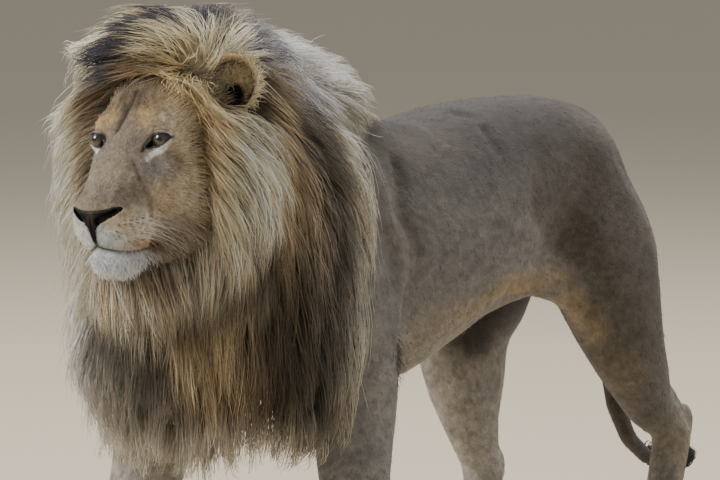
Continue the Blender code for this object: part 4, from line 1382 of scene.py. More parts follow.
@dataclass
class EyeRim:
  """The bare dark rim of both lids of one eye, with the tear duct at the inner corner."""

  opening: EyeOpening
  columns: int = 128
  profile: tuple = (  # step outwards from the opening, height over the skin, colour share
    (-.14, None, 0), (-.1, -.1, 0), (-.03, .02, 0), (.04, .06, 0), (.1, .06, 0),
    (.17, .03, .15), (.23, -.05, .6), (.3, -.18, 1), (.2, -.6, 1),
  )

  def build(self) -> Piece:
    """The profile carried round the almond as a closed ring.

    At angle t the almond's edge lies cos t of the way across, on the upper arc for the first half
    turn and on the lower for the second. The upper lid's profile is the wider one.
    """
    gaze, out, rise = self.opening.axes()
    t = linspace(0, tau, self.columns, endpoint=False)
    middle, half = self.opening.span()
    a = middle + half*cos(t)
    top, low = self.opening.arcs(a)
    b = np.where(sin(t) >= 0, top, low)
    edge = stack(a, b)
    along = unit(np.roll(edge, -1, axis=0) - np.roll(edge, 1, axis=0))
    outward = stack(along[:, 1], -along[:, 0])
    stretch = np.where(sin(t) >= 0, .9 + 1*sin(t), .9 + .15*sin(t)) + .6*ramp(-.75, -1, cos(t))
    rows = []
    for step, height, _ in self.profile:
      flat = edge + outward*(step*stretch)[:, None]
      start = self.opening.centre() + flat[:, :1]*out + flat[:, 1:]*rise
      if height is None:
        reach = np.sqrt(maximum((EYE_RADIUS - .12)**2 - (flat**2).sum(axis=1), .02))
      else:
        reach = HEAD.met_by(start - gaze, np.tile(gaze, (len(start), 1)), 7, .28,
            lids=True) - 1 + height*stretch
      rows.append(start + gaze*reach[:, None])
    points = from_face(np.stack(rows)[::-1])
    if self.opening.side < 0:
      points = points[:, ::-1]
    corner, ahead = corners_of(len(points), self.columns)
    above = np.roll(corner, -1, axis=0)
    quads = stack(corner, ahead, np.roll(ahead, -1, axis=0), above).reshape(-1, 4)
    surface = Surface(points.reshape(-1, 3), quads)
    share = np.repeat(array([row[2] for row in self.profile])[::-1], self.columns)[:, None]
    piece = mesh_piece("lid_rim_left" if self.opening.side > 0 else "lid_rim_right", surface)
    give_colour(piece, blended(tone(16, 12, 11), tone(96, 80, 70), share))
    return dressed(piece, LID_SKIN, Slot.NOSE)


@dataclass
class NosePad:
  """The nose leather's mesh: a front sheet with rounded borders and nostrils, closed behind."""

  columns: int = 120
  rows: int = 60
  proud: float = .2

  def build(self) -> Piece:
    """A grid between the edges with rounded borders and two comma-shaped nostrils."""
    across = linspace(-1, 1, self.columns)[None, :]
    down = linspace(0, 1, self.rows)[:, None]
    left = NOSE.half*(.75*across + .25*across**3)
    left, down = np.broadcast_arrays(left, down)
    up = NOSE.top(left) + (NOSE.low(left) - NOSE.top(left))*down
    span = NOSE.top(left) - NOSE.low(left)
    edge = minimum((1 - np.abs(across))*4, minimum(down, 1 - down)*span)
    flat = stack(zeros(left.size), left.ravel(), up.ravel())
    hole = zeros(len(flat))
    for side in SIDES:
      comma = array([(0, side*1.15, -12.45), (0, side*1.9, -12.15), (0, side*2.9, -11.55),
          (0, side*4.1, -10.8)])
      width = .28 + .34*exp(-((np.abs(flat[:, 1]) - 1.7)/.9)**2)
      hole = maximum(hole, exp(-(line_distance(flat, comma)/width)**4))
    hole = hole.reshape(left.shape)*ramp(.02, .22, edge)
    middle = exp(-(left/.17)**2)*ramp(-11.2, -12.4, up)
    forward = NOSE.front(left, up) + self.proud*ramp(0, .3, edge) - .45*ramp(.12, 0,
        edge) - .75*hole - .2*middle
    lobe = .22*exp(-((np.abs(left) - 4.2)/.7)**2 - ((up + 10.5)/.6)**2)
    front = stack(forward + lobe, left, up)
    back = stack(forward - 1.6, left*.9, up*.97 - .35)
    surface = self.closed(front, back)
    # shade: painted shade in the nostrils and the middle groove; the back sheet is painted wholly in the same
    # near black
    shade = clip(maximum(hole*1.2, .7*middle), 0, 1).ravel()
    shade = concatenate([shade, ones(len(shade))])[:, None]
    # high: painted highlight, lighter leather over the middle of the nose and along its top edge
    high = (ramp(.9, 0, np.abs(left))*ramp(-13.4, -12, up)*.8 + .35*ramp(.55, .1,
        NOSE.top(left) - up)).ravel()
    high = clip(concatenate([high, high]), 0, 1)[:, None]
    leather = blended(tone(12, 9, 9), tone(60, 48, 42), high)
    piece = mesh_piece("nose_pad", surface.moved(from_face(surface.points)))
    give_colour(piece, blended(leather, tone(6, 5, 5), shade))
    dressed(piece, NOSE_LEATHER, Slot.NOSE)
    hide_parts("nose")
    return piece

  def closed(self, front: Array, back: Array) -> Surface:
    """A front sheet and a back sheet joined round their edge."""
    rows, columns, _ = front.shape
    corner, step = corners_of(rows, columns)[0], rows*columns
    face = stack(corner[:-1, :-1], corner[1:, :-1], corner[1:, 1:], corner[:-1, 1:]).reshape(-1, 4)
    ring = concatenate([corner[0, :-1], corner[:-1, -1], corner[-1, :0:-1], corner[:0:-1, 0]])
    ahead = np.roll(ring, -1)
    wall = stack(ring, ahead, ahead + step, ring + step)
    return Surface(concatenate([front.reshape(-1, 3), back.reshape(-1, 3)]),
           concatenate([face, face[:, ::-1] + step, wall]))


def threads(paths: Array, widths: Array) -> Surface:
  """Three-sided tapering threads that end in a point.

  Args:
    paths: (threads, places, 3), from root to tip.
    widths: (threads, places) radii; the last one is not used.

  Returns:
    One surface, with three corners a third of a turn apart at each place.
  """
  count, places, _ = paths.shape
  along = unit(np.gradient(paths, axis=1))
  hint = unit(cross(along, array([.31, .17, .93])))
  other = cross(along, hint)
  angle = tau*arange(3)/3
  ring = (hint[:, :, None]*cos(angle)[:, None] + other[:, :, None]*sin(angle)[:, None])*widths[:, :, None,
      None]
  body = (paths[:, :, None] + ring)[:, :-1]
  points = concatenate([body.reshape(count, -1, 3), paths[:, -1:]], axis=1)
  each = points.shape[1]
  ring_corner, ahead = corners_of(places - 1, 3)
  quads = stack(ring_corner[:-1], ahead[:-1], ahead[1:], ring_corner[1:]).reshape(-1, 4)
  tips = stack(ring_corner[-1], ahead[-1], np.full(3, each - 1))
  root = ring_corner[0][::-1][None]
  tris = concatenate([tips, root])
  step = (arange(count)*each)[:, None, None]
  return Surface(points.reshape(-1, 3), (quads + step).reshape(-1, 4), (tris + step).reshape(-1, 3))


def shares(places: int) -> Array:
  """Shares of the way from root to tip, to be spread over hairs and axes."""
  return linspace(0, 1, places)[None, :, None]


@dataclass
class Whiskers:
  """Long pale bristles that grow from the rows of dark spots on the whisker pads."""

  lengths: tuple[float, ...] = (6, 8.5, 10.5, 10, 7.5)  # centimetres, for each row

  def build(self) -> Piece:
    """Bristles that leave sideways and sweep back and down."""
    rng = np.random.default_rng(5)
    roots, lengths = [], []
    for row, length in zip(WHISKER_ROWS, self.lengths):
      row = points_of(row)
      for side in SIDES:
        roots.append(flipped(row, side))
        lengths.append(length*linspace(.4, 1, len(row)))
    roots, lengths = concatenate(roots), concatenate(lengths)
    side, count = np.sign(roots[:, 1]), len(roots)
    outward = array([0, 1, 0])*side[:, None]
    origin = roots*[1, 0, 1]
    roots = origin + outward*HEAD.met_by(origin, outward, 12, .2)[:, None]
    aim = unit(stack(-.55 + .25*rng.normal(size=count), .8*side, .1 + .15*rng.normal(size=count)))
    bend = unit(stack(-.7*ones(count), .1*side, -.95 + .2*rng.normal(size=count)))
    share = linspace(0, 1, 10)[None, :, None]
    paths = roots[:, None] + lengths[:, None, None]*(share*aim[:, None]*.7 + share**2*bend[:, None]*.65)
    widths = .046*(1 - .8*share[..., 0])*ones((count, 1))
    bristles = threads(from_face(paths.reshape(-1, 3)).reshape(paths.shape), widths*CM)
    return dressed(mesh_piece("whiskers", bristles), WHISKER_HAIR, Slot.COAT)


@dataclass
class Claws:
  """Small hooked claws that show between the fur of each toe."""

  paws: tuple = ((.15, -.3, .066), (-.15, -.575, .066), (.128, .74, .058), (-.128, .46, .058))

  def build(self) -> Piece:
    """A short curved thread of few sides at the front of each toe."""
    roots = []
    for x, toes, wide in self.paws:
      for place, ahead in TOES:
        roots.append((x + place*wide*.66, toes + (1 - ahead)*.042 + .008, .026))
    roots = array(roots)
    share = linspace(0, 1, 6)
    curve = stack(0*share, -.01*share, -.011*share**2)
    paths = roots[:, None] + curve[None]
    widths = .0032*(1 - .85*share)[None]*ones((len(roots), 1))
    return dressed(mesh_piece("claws", threads(paths, widths)), CLAW_HORN, Slot.NOSE)


# ---------------- hair

@dataclass(frozen=True)
class Comb:
  """Directions that the hair is combed in: each guide has a place, a direction and a reach."""

  places: Array
  directions: Array
  reach: float

  def at(self, points: Array) -> Array:
    """The guides' directions weighted by exp(-d^2 / (2 reach^2))."""
    gap = ((points[:, None] - self.places[None])**2).sum(axis=-1)
    gap -= gap.min(axis=1, keepdims=True)
    weight = exp(-gap/(2*self.reach**2))
    return unit(weight @ self.directions)


# each row: a place, and the direction that the hair lies in there
HEAD_GUIDES = table("""
  -8 9 13 .25 -.75 .45; -10 2 19 .45 -.85 .05; -2 1 17 .35 -.93 -.05; -2 -8 17 .2 -.8 -.5;
  -3 -14 11 .05 -.8 -.5; -6 -14 7 .05 -.85 -.4; -5 -16.5 1 .1 -.5 -.85;
  -5 -18 -6 .15 -.35 -.92; -4 -15 -18 .2 -.2 -.95; -4 8.3 8.5 .35 .1 -.9; -5 8.5 12 .1 .3 .6;
  -6 10 4.5 -.3 .85 -.4; -5.5 10 0 -.4 .8 -.45; -5 10 -6 -.4 .72 -.56; -10 15 3 -.4 .4 -.82;
  -14 10 16 -.7 .35 .35; -20 0 20 -.85 .1 .25; -15 15 6 -.6 .5 -.6; -9 16.5 -4 -.15 .22 -.95;
  -9 18 -10 -.05 .1 -1; -8 17 -20 .1 -.2 -.97; -3.5 9.5 -12 -.3 .5 -.8;
  -3.5 -9.5 -8 -.1 -.8 -.6; -5 -9.5 6 .1 -.8 .1; 0 0 -26 .25 0 -.97; -2 7 -20 .05 .2 -.97;
  -2 -7 -20 .05 -.2 -.97; -16 -13 12 -.6 -.6 .1""")
BODY_GUIDES = table("""
  0 -.2 1.12 0 .9 .1; 0 -.05 1.05 0 .85 -.4; .16 -.25 1.02 .3 .5 -.8;
  -.16 -.25 1.02 -.3 .5 -.8; .22 -.25 .86 .05 .25 -.97; -.22 -.25 .86 -.05 .25 -.97;
  .19 -.14 .86 0 .1 -1; -.19 -.14 .86 0 .1 -1; .2 -.28 .66 0 0 -1; -.2 -.28 .66 0 0 -1;
  0 -.62 .66 0 -.15 -.98; .15 -.55 .62 .1 -.08 -.98; -.15 -.55 .62 -.2 -.1 -.97;
  -.22 -.48 .66 -.35 -.05 -.93""")


def mane_comb() -> Comb:
  """The lie of the mane, by guides round the head and down the neck and chest."""
  places = concatenate([from_head(HEAD_GUIDES[:, :3]), BODY_GUIDES[:, :3]])
  directions = concatenate([HEAD_GUIDES[:, 3:] @ HEAD_AXES, BODY_GUIDES[:, 3:]])
  return Comb(places, unit(directions), .055)


def body_comb(points: Array) -> Array:
  """The lie of the short coat: back from the nose, and back and down on the body."""
  head = to_face(points)
  on_head = unit(head - [12.5, 0, -9.5]) @ FACE_AXES
  on_head = unit(on_head + [0, 0, -.35]*ramp(2, -6, head[:, 2])[:, None])
  legs = ramp(.62, .45, points[:, 2])[:, None]
  tail = (ramp(.84, .9, points[:, 1])*ramp(.07, .05, np.abs(points[:, 0])))[:, None]
  trunk = np.tile([0, .88, -.3], (len(points), 1))
  trunk[:, 2] -= .8*ramp(.1, .2, np.abs(points[:, 0]))
  trunk = blended(unit(trunk), array([0, .2, -.97]), legs)
  hang = np.where((points[:, 2] > .33)[:, None], array([0, .1, -1]), array([0, .9, -.3]))
  return unit(blended(blended(trunk, hang, tail), on_head, ramp(3, -1, HEAD.distance(head))))


@dataclass
class Unwrap:
  """A flat chart of the skin's own shape, so that each root has a place on it."""

  def at(self, points: Array) -> Array:
    """Places from 0 to 1, with a part of the chart for each form.

    The head is laid out by direction from its heart, the mane and each leg by angle round an
    upright line and height, the trunk by length and angle, and the tail by its length.
    """
    head = to_face(points) - array(HEAD.heart)
    chart = self.tile(points[:, 1]/1.6 + .35, arctan2(points[:, 0], points[:, 2] - .8)/tau + .5, .01, .01,
        .48, .3)
    low = points[:, 2] < .6
    for index, (x, y) in enumerate(((.14, -.2), (-.14, -.42), (.13, .75), (-.13, .55))):
      mine = low & (np.sign(points[:, 0]) == np.sign(x)) & ((points[:, 1] < .15) == (y < .15))
      angle = arctan2(points[:, 1] - y, points[:, 0] - x)/tau + .5
      leg = self.tile(angle, points[:, 2]/.6, .51 + .12*index, .01, .11, .46)
      chart[mine] = leg[mine]
    tail = (points[:, 1] > .86) & (np.abs(points[:, 0]) < .06)
    length = np.where(points[:, 2] > .33, .95 - points[:, 2], .62 + (points[:, 1] - .92))
    chart[tail] = self.tile(length, arctan2(points[:, 0], points[:, 1] - .92)/tau + .5, .01, .33, .48,
        .15)[tail]
    hair = MANE.outside(points) < .005
    neck = self.tile(arctan2(points[:, 0], -(points[:, 1] + .32))/tau + .5, (points[:, 2] - .42)/.8, .01,
        .51, .48, .48)
    chart[hair] = neck[hair]
    face = HEAD.distance(to_face(points)) < .8
    polar = np.arccos(clip(head[:, 0]/maximum(size_of(head), 1e-6), -1, 1))/pi
    turn = arctan2(head[:, 2], head[:, 1])/tau + .5
    chart[face] = self.tile(turn, polar, .51, .51, .48, .48)[face]
    return chart

  def tile(self, u: Array, v: Array, left: float, low: float, wide: float, high: float) -> Array:
    """Two shares from 0 to 1 placed in one part of the chart."""
    return stack(left + wide*clip(u, 0, 1), low + high*clip(v, 0, 1))


UNWRAP = Unwrap()


def hair_piece(name: str, paths: Array, widths: Array, colours: Array, finish: Finish, slot: Slot) -> Piece:
  """One joined mesh of hairs, with their colours and their places on the chart.

  Args:
    name: the piece's name.
    paths: (hairs, places, 3) in the lion's space.
    widths: (hairs, places) radii.
    colours: (hairs, places, 3) linear colours.
    finish: the hair's finish.
    slot: not used.

  Returns:
    The dressed piece.
  """
  places = paths.shape[1]
  piece = mesh_piece(name, threads(paths, widths))
  per_hair = concatenate([np.repeat(colours[:, :-1], 3, axis=1), colours[:, -1:]], axis=1)
  give_colour(piece, per_hair.reshape(-1, 3))
  share = np.append(np.repeat(linspace(0, 1, places)[:-1], 3), 1)
  angle = concatenate([np.tile(tau*arange(3)/3, places - 1), [0]])
  patch = .0015*(1 - share)[:, None]*stack(cos(angle), sin(angle))
  give_bake_map(piece, (UNWRAP.at(paths[:, 0])[:, None] + patch[None]).reshape(-1, 2))
  return dressed(piece, finish, slot)


@dataclass
class Roots:
  """Places scattered evenly over a surface, with the surface's normals there."""

  surface: Surface

  def scatter(self, count: int, keep: Callable, seed: int) -> tuple[Array, Array]:
    """Picks places by area times chance.

    Args:
      count: how many places.
      keep: a function from points to a chance from 0 to 1.
      seed: for the random numbers.

    Returns:
      The points and their normals.
    """
    rng = np.random.default_rng(seed)
    faces = self.surface.triangles()
    a, b, c = (self.surface.points[faces[:, k]] for k in range(3))
    area = size_of(cross(b - a, c - a))
    chance = area*keep((a + b + c)/3)
    chosen = rng.choice(len(faces), count, p=chance/chance.sum())
    u, v = rng.random(count), rng.random(count)
    over = u + v > 1
    u, v = np.where(over, 1 - u, u)[:, None], np.where(over, 1 - v, v)[:, None]
    corner_normals = self.surface.normals()
    normal = [corner_normals[faces[chosen, k]] for k in range(3)]
    points = a[chosen]*(1 - u - v) + b[chosen]*u + c[chosen]*v
    return points, unit(normal[0]*(1 - u - v) + normal[1]*u + normal[2]*v)


# each row: the middle and radii of a soft oval, and the length in metres that hair has there
HEAD_LENGTHS = table("""
  -8 0 16 10 12 5 .15; -6 8.5 10 4 4 5 .062; -4 -11 11 6 6 5 .21; -13 12 14 6 6 5 .1;
  -9 15 -6 7 7 12 .19; -9 -15 -2 7 7 14 .17; -5 8.5 -6 3 3 8 .11; -3 -8.5 -6 3 3 8 .08;
  2 0 -23 6 7 4 .13; -2 0 -28 7 9 6 .18""")
BODY_LENGTHS = table("""
  0 -.15 1.08 .15 .15 .08 .1; .18 -.26 .88 .1 .14 .18 .17;
  -.18 -.26 .88 .1 .14 .18 .17; .17 -.13 .85 .08 .05 .22 .1;
  -.17 -.13 .85 .08 .05 .22 .1; 0 -.5 .7 .22 .15 .14 .17; 0 -.4 .52 .25 .22 .08 .155""")


@dataclass
class Mane:
  """Long hair in tapering locks that flow from the padded form out to the mane's outline."""

  roots: Roots
  locks: int = 4700
  hairs_per_lock: int = 7
  places: int = 5
  radius: float = .00086
  pieces: int = 4

  def growing(self, points: Array) -> Array:
    """Where long hair grows: on the padded form, round the face and under the chin."""
    chance = ramp(-.006, -.022, MANE.outside(points))
    chance = chance*(.45 + .55*ramp(.55, .75, points[:, 2]) + .3*ramp(.6, .52, points[:, 2]))
    face = to_face(points)
    skull = HEAD.distance(face)
    forward, across, up = face.T
    hairline = interp(up, [-18, -12, -4, 4, 9, 13], [-5, -6.8, -7.2, -6.4, -5.2, -3])
    hairline = hairline + 2.8*ramp(-5, -9, across)
    on_head = 2.4*ramp(.6, -1, forward - hairline)
    on_head = maximum(on_head, 1.8*ramp(-18.6, -19.8, up)*ramp(7.6, 5.8, forward))
    chance = np.where(skull < .6, on_head*(MANE.outside(points) < .012), chance)
    chance = chance*(1 + 2.2*self.parting(points) + .8*ramp(.54, .48, points[:, 2]) + 3*self.far_brow(points))
    return chance*EARS.clear(points, .05)*~((MANE.under(points) < -.03) | (skull < -1.5))

  def parting(self, points: Array) -> Array:
    """How near points are to the crown, where the hair falls both ways."""
    return near(to_head(points), (-10, 5, 17), (6, 6, 4))

  def far_brow(self, points: Array) -> Array:
    """How near points are to the right of the brow, where the hair stands out."""
    return near(to_head(points), (-6, -14, 7.5), (7, 6, 5))

  def lengths(self, points: Array) -> Array:
    """Hair length by zones, and 0.16 m where none is near."""
    total, length = np.full(len(points), .05), np.full(len(points), .05*.16)
    zones = [(*head_sized(row[:3], row[3:6]), row[6]) for row in HEAD_LENGTHS]
    for centre, radii, long in zones + [(row[:3], row[3:6], row[6]) for row in BODY_LENGTHS]:
      weight = near(points, centre, radii)
      total += weight
      length += weight*long
    return length/total

  def face_window(self, points: Array) -> Array:
    """A field in metres, negative over the bare face, where no long hair hangs."""
    forward, left, up = to_face(points).T
    high = up + 5.6
    wide = np.where(left > 0, 15, 8.6)
    ring = hypot(left/wide, high/18.4)
    plane = interp(up, [-20, -16, 0, 5, 10, 14], [-5.4, -6.6, -6.9, -6.2, -4.8, -2.6])
    return CM*maximum((ring - 1)*8, plane - forward)

  def kept_in(self, points: Array, lift: Array, slack: Array) -> Array:
    """Points kept inside the outline, and out of the padding, the head, the face and the ears."""
    step = .0015
    for measure, limit, sign in ((MANE.outside, slack, -1), (MANE.under, lift, 1),
        (self.head_metres, lift, 1),
                  (self.face_window, .004 - lift, 1)):
      value = measure(points)
      slope = unit(np.stack([measure(points + step*axis) - value for axis in np.eye(3)], axis=1))
      if sign < 0:
        points = points - slope*maximum(value - limit, 0)[:, None]
      else:
        short = maximum(limit - value, 0)*(value > -.05)
        points = points + slope*short[:, None]
    for side in SIDES:
      middle, axes = EARS.frame(side)
      away = points - middle
      ahead = clip(away @ axes[1], 0, .15)
      away = away - axes[1]*ahead[:, None]
      points = points + unit(away)*maximum(.05 + .07*ahead - size_of(away), 0)[:, None]
    return points

  def head_metres(self, points: Array) -> Array:
    """The head's field in metres."""
    return CM*HEAD.distance(to_face(points))

  def swirl(self, points: Array) -> Array:
    """A slow wander of direction: sines of place along slanted axes."""
    turn = array([[31, 17, 12], [-14, 33, 19], [11, -21, 29]])
    return sin(points @ turn.T + [.4, 2.1, 4]) + .6*sin(points @ (2.3*turn[::-1].T) + 1)

  def guides(self, points: Array, normals: Array, lengths: Array, rng: np.random.Generator) -> Array:
    """The path of each lock, step by step along the comb, with some lift and sag.

    Args:
      points: roots.
      normals: the surface's normals there.
      lengths: how long each lock is.
      rng: random numbers.

    Returns:
      (locks, places, 3) paths.
    """
    comb = mane_comb()
    temple = near(to_head(points), (-7, 8, 10), (4, 4, 5))
    stray = (.15 + .42*temple)[:, None]*rng.normal(size=(len(points), 3))
    way = unit(comb.at(points) + (.6 + .5*self.parting(points))[:, None]*normals + stray)
    here = points - normals*.004
    path = [here]
    step = (lengths/(self.places - 1))[:, None]
    loft = .004 + .026*rng.random(len(points))**1.3
    slack = rng.exponential(.0035, len(points)) - .013 + .003*ramp(1.14, 1.2, points[:, 2])
    hang = .042*rng.random(len(points))**1.2
    for place in range(1, self.places):
      share = place/(self.places - 1)
      target = comb.at(here) + .13*self.swirl(here)
      way = unit(.5*way + .6*target + .4*stray + [0, 0, -.1])
      low = ramp(.58, .5, here[:, 2])
      here = self.kept_in(here + way*step, loft*min(1, share*2.2),
          slack + hang*low + .9*hang*self.far_brow(here))
      path.append(here)
    return np.stack(path, axis=1)

  def build(self) -> list[Piece]:
    """Grows the locks, fills each with hairs and splits them into pieces."""
    rng = np.random.default_rng(11)
    points, normals = self.roots.scatter(self.locks, self.growing, 21)
    lengths = self.lengths(points)*rng.uniform(.7, 1.22, len(points))
    guides = self.guides(points, normals, lengths, rng)
    lock = np.repeat(arange(len(points)), self.hairs_per_lock)
    count, share = len(lock), shares(self.places)
    spread = .015*np.sqrt(rng.random(count))[:, None]*unit(rng.normal(size=(count, 3)))
    spread -= .7*normals[lock]*(spread*normals[lock]).sum(axis=1, keepdims=True)
    gather = 1 - rng.uniform(.3, .82, len(points))[lock][:, None, None]*share**1.2
    paths = guides[lock] + spread[:, None]*gather
    sweep = rng.normal(size=(len(points), 1, 3))[lock]*.006*sin(share*3.6 + rng.uniform(0, 6.3,
        (len(points), 1, 1))[lock])*share
    wander = rng.normal(size=(count, 1, 3))*(.0035 + .01*(rng.random((count, 1, 1)) < .14))*share**1.3
    paths = in_box(self.shortened(paths + sweep + wander, rng.uniform(.62, 1, count)))
    widths = self.radius*rng.uniform(.7, 1.25, count)[:, None]*(1 - share[..., 0])**.5*(.8 + .2*share[..., 0])
    colours = self.hair_colours(paths, lock, rng)
    groups = np.array_split(np.argsort(lock % self.pieces, kind="stable"), self.pieces)
    return [hair_piece(f"mane_locks_{index}", paths[group], widths[group], colours[group], MANE_HAIR,
        Slot.MANE)
        for index, group in enumerate(groups, 1)]

  def shortened(self, paths: Array, cut: Array) -> Array:
    """Each path drawn again over only its first share."""
    place = linspace(0, 1, self.places)[None]*cut[:, None]*(self.places - 1)
    low, rows = minimum(place.astype(int), self.places - 2), arange(len(paths))[:, None]
    return blended(paths[rows, low], paths[rows, low + 1], (place - low)[..., None])

  def hair_colours(self, paths: Array, lock: Array, rng: np.random.Generator) -> Array:
    """Markings and painted shade, dark at the root and light at the tip, varied by lock and hair."""
    middle = .5*(paths[:, self.places // 2] + paths[:, -2])
    here = mane_colour(paths.reshape(-1, 3)).reshape(len(paths), self.places, 3)
    base = .25*mane_colour(middle)[:, None] + .75*here
    by_lock = rng.normal(size=(lock.max() + 1, 1))[lock]*.2
    by_hair = rng.normal(size=(len(lock), 1))*.2
    warm = rng.normal(size=(len(lock), 1))*.05
    base = base*(exp(by_lock + by_hair)*np.hstack([1 + warm, np.ones_like(warm), 1 - warm]))[:, None]
    share = linspace(0, 1, self.places)
    light = interp(share, [0, .25, .8, 1], [.55, .98, 1.16, 1.3])
    return clip(base*light[None, :, None], 0, .95)


def in_box(points: Array) -> Array:
  """Points kept within the CAD model's box."""
  low, high = (array(corner[:]) - SHIFT for corner in CAD_BOX)
  return clip(points, low + .001, high - .001)


@dataclass(frozen=True)
class FurPlan:
  """How one kind of short hair grows."""

  name: str
  count: int
  length: float
  radius: float
  lift: float
  seed: int
  places: int = 2
  shade: float = .14
  stray: float = .14
  sag: float = 0
  tint: float = 1


@dataclass
class ShortCoat:
  """Short hairs over body, face, chin, elbows and belly."""

  roots: Roots

  def bare(self, points: Array) -> Array:
    """0 on the nose leather and in the eye openings, 1 elsewhere."""
    head = to_face(points)
    open_places = ones(len(points))
    for eye in EYES:
      open_places = minimum(open_places, ramp(-.22, -.34, eye.depth_inside(head)))
    for line in FACE_LINES[:2]:
      open_places = open_places*(line.weight(head) < .45)
    return open_places*(NOSE.covers(head, 0) < .5)

  def on_body(self, points: Array) -> Array:
    """The body outside the mane."""
    return ramp(-.012, 0, MANE.outside(points))*(HEAD.distance(to_face(points)) > 1.5)

  def on_face(self, points: Array) -> Array:
    """The face outside the mane."""
    head = to_face(points)
    front = ramp(-10, -7, head[:, 0])*(head[:, 2] > -24)*(head[:, 2] < 14)
    return (np.abs(HEAD.distance(head)) < 1.2)*self.bare(points)*front*(.4 + .6*(head[:, 0] > -3))

  def on_ruff(self, points: Array) -> Array:
    """The brow, temples, cheeks and jaw, where the fur grows longer."""
    head = to_face(points)
    forward, across, up = head.T
    behind = ramp(0, -2.4, forward + .25*(up - 4)*(up < 4) + 1.2*(up > 4))*ramp(-12.5, -10.5, forward)
    jaw = ramp(2.5, 0, forward)*ramp(-12, -14, up)
    place = maximum(behind, jaw)*(up > -19)*(up < 14)*(np.abs(HEAD.distance(head)) < 1.2)
    return place*EARS.clear(points, .047)*self.bare(points)*(.35 + .65*ramp(-8, -4, across))

  def ruff_stretch(self, points: Array) -> Array:
    """From 1 at the face to 4.2 at the hairline."""
    head = to_face(points)
    return 1 + 3.2*ramp(-1, -7.5, head[:, 0])*ramp(14, 9, head[:, 2]) + .8*ramp(-12, -15, head[:, 2])

  def at_elbow(self, points: Array) -> Array:
    """A small dark tuft behind each elbow."""
    return near(np.abs(points*[1, 0, 0]) + points*[0, 1, 1], (.2, -.115, .612), (.05, .014, .024))

  def on_chin(self, points: Array) -> Array:
    """The chin and lower lip."""
    head = to_face(points)
    chin = near(head, (6.5, 0, -20.6), (4, 4.6, 1.9))
    return self.on_face(points)*chin*(head[:, 2] < -18.4)

  def along_edges(self, points: Array) -> Array:
    """Belly line, elbows, backs of the legs and the flank fold."""
    belly = exp(-((points[:, 2] - .6)/.07)**2)*ramp(-.1, 0, points[:, 1])*ramp(.7, .5, points[:, 1])
    elbow = exp(-((points[:, 1] + .05)/.05)**2 - ((points[:, 2] - .56)/.1)**2)
    thigh = exp(-((points[:, 1] - .85)/.05)**2 - ((points[:, 2] - .62)/.16)**2)*1.5
    return (belly + elbow + thigh)*self.on_body(points)

  def grow(self, plan: FurPlan, keep: Callable, comb: Callable = body_comb,
      longer: Callable | None = None) -> Piece:
    """Scatters one kind of hair and bends each along the comb.

    Args:
      plan: sizes and number.
      keep: where it grows, as a chance.
      comb: the lie of the hair.
      longer: how many times longer the hair is at each root.

    Returns:
      The dressed piece.
    """
    rng = np.random.default_rng(plan.seed)
    points, normals = self.roots.scatter(plan.count, keep, plan.seed)
    way = comb(points)
    way = unit(way - normals*(way*normals).sum(axis=1,
        keepdims=True) + plan.stray*rng.normal(size=points.shape))
    lengths = plan.length*rng.uniform(.65, 1.25, plan.count)
    if longer:
      lengths = lengths*longer(points)
    share = shares(plan.places)
    rise = normals[:, None]*(plan.lift*sin(share*2))*lengths[:, None, None]
    rise[..., 2] -= (plan.sag*share**2*lengths[:, None, None])[..., 0]
    run = way[:, None]*share*lengths[:, None, None]
    paths = in_box(points[:, None] - normals[:, None]*plan.radius*1.5 + rise + run)
    widths = plan.radius*rng.uniform(.8, 1.2, plan.count)[:, None]*(1 - share[..., 0]**2*.8)
    base = plan.tint*coat_colour(points + .5*way*lengths[:,
        None])*exp(plan.shade*rng.normal(size=(plan.count, 1)))
    light = linspace(.98, 1.22, plan.places)
    colours = clip(base[:, None]*light[None, :, None], 0, .95)
    return hair_piece(plan.name, paths, widths, colours, COAT_HAIR, Slot.COAT)

  def build(self) -> list[Piece]:
    """All the short hair."""
    return [
      self.grow(FurPlan("body_fur", 49000, .013, .00066, .035, 31, stray=.09, shade=.34), self.on_body),
      self.grow(FurPlan("face_fur", 49000, .0062, .00042, .1, 32, stray=.12, shade=.32), self.on_face),
      self.grow(FurPlan("ruff_fur", 8600, .011, .0005, .3, 36, 5, stray=.16, shade=.26, sag=.18, tint=1.3),
          self.on_ruff,
           longer=self.ruff_stretch),
      self.grow(FurPlan("edge_fur", 2300, .016, .0004, .05, 33, 4, tint=1.15), self.along_edges),
      self.grow(FurPlan("elbow_tufts", 150, .02, .0005, .3, 37, 5, stray=.3, sag=.3), self.at_elbow),
      self.grow(FurPlan("chin_fur", 2200, .016, .00045, .3, 34, 5, shade=.2, tint=1.3), self.on_chin,
          comb=self.chin_comb),
    ]

  def chin_comb(self, points: Array) -> Array:
    """The chin's hair hangs down and a little back."""
    return np.tile(array([-.25, 0, -.95]) @ FACE_AXES, (len(points), 1))


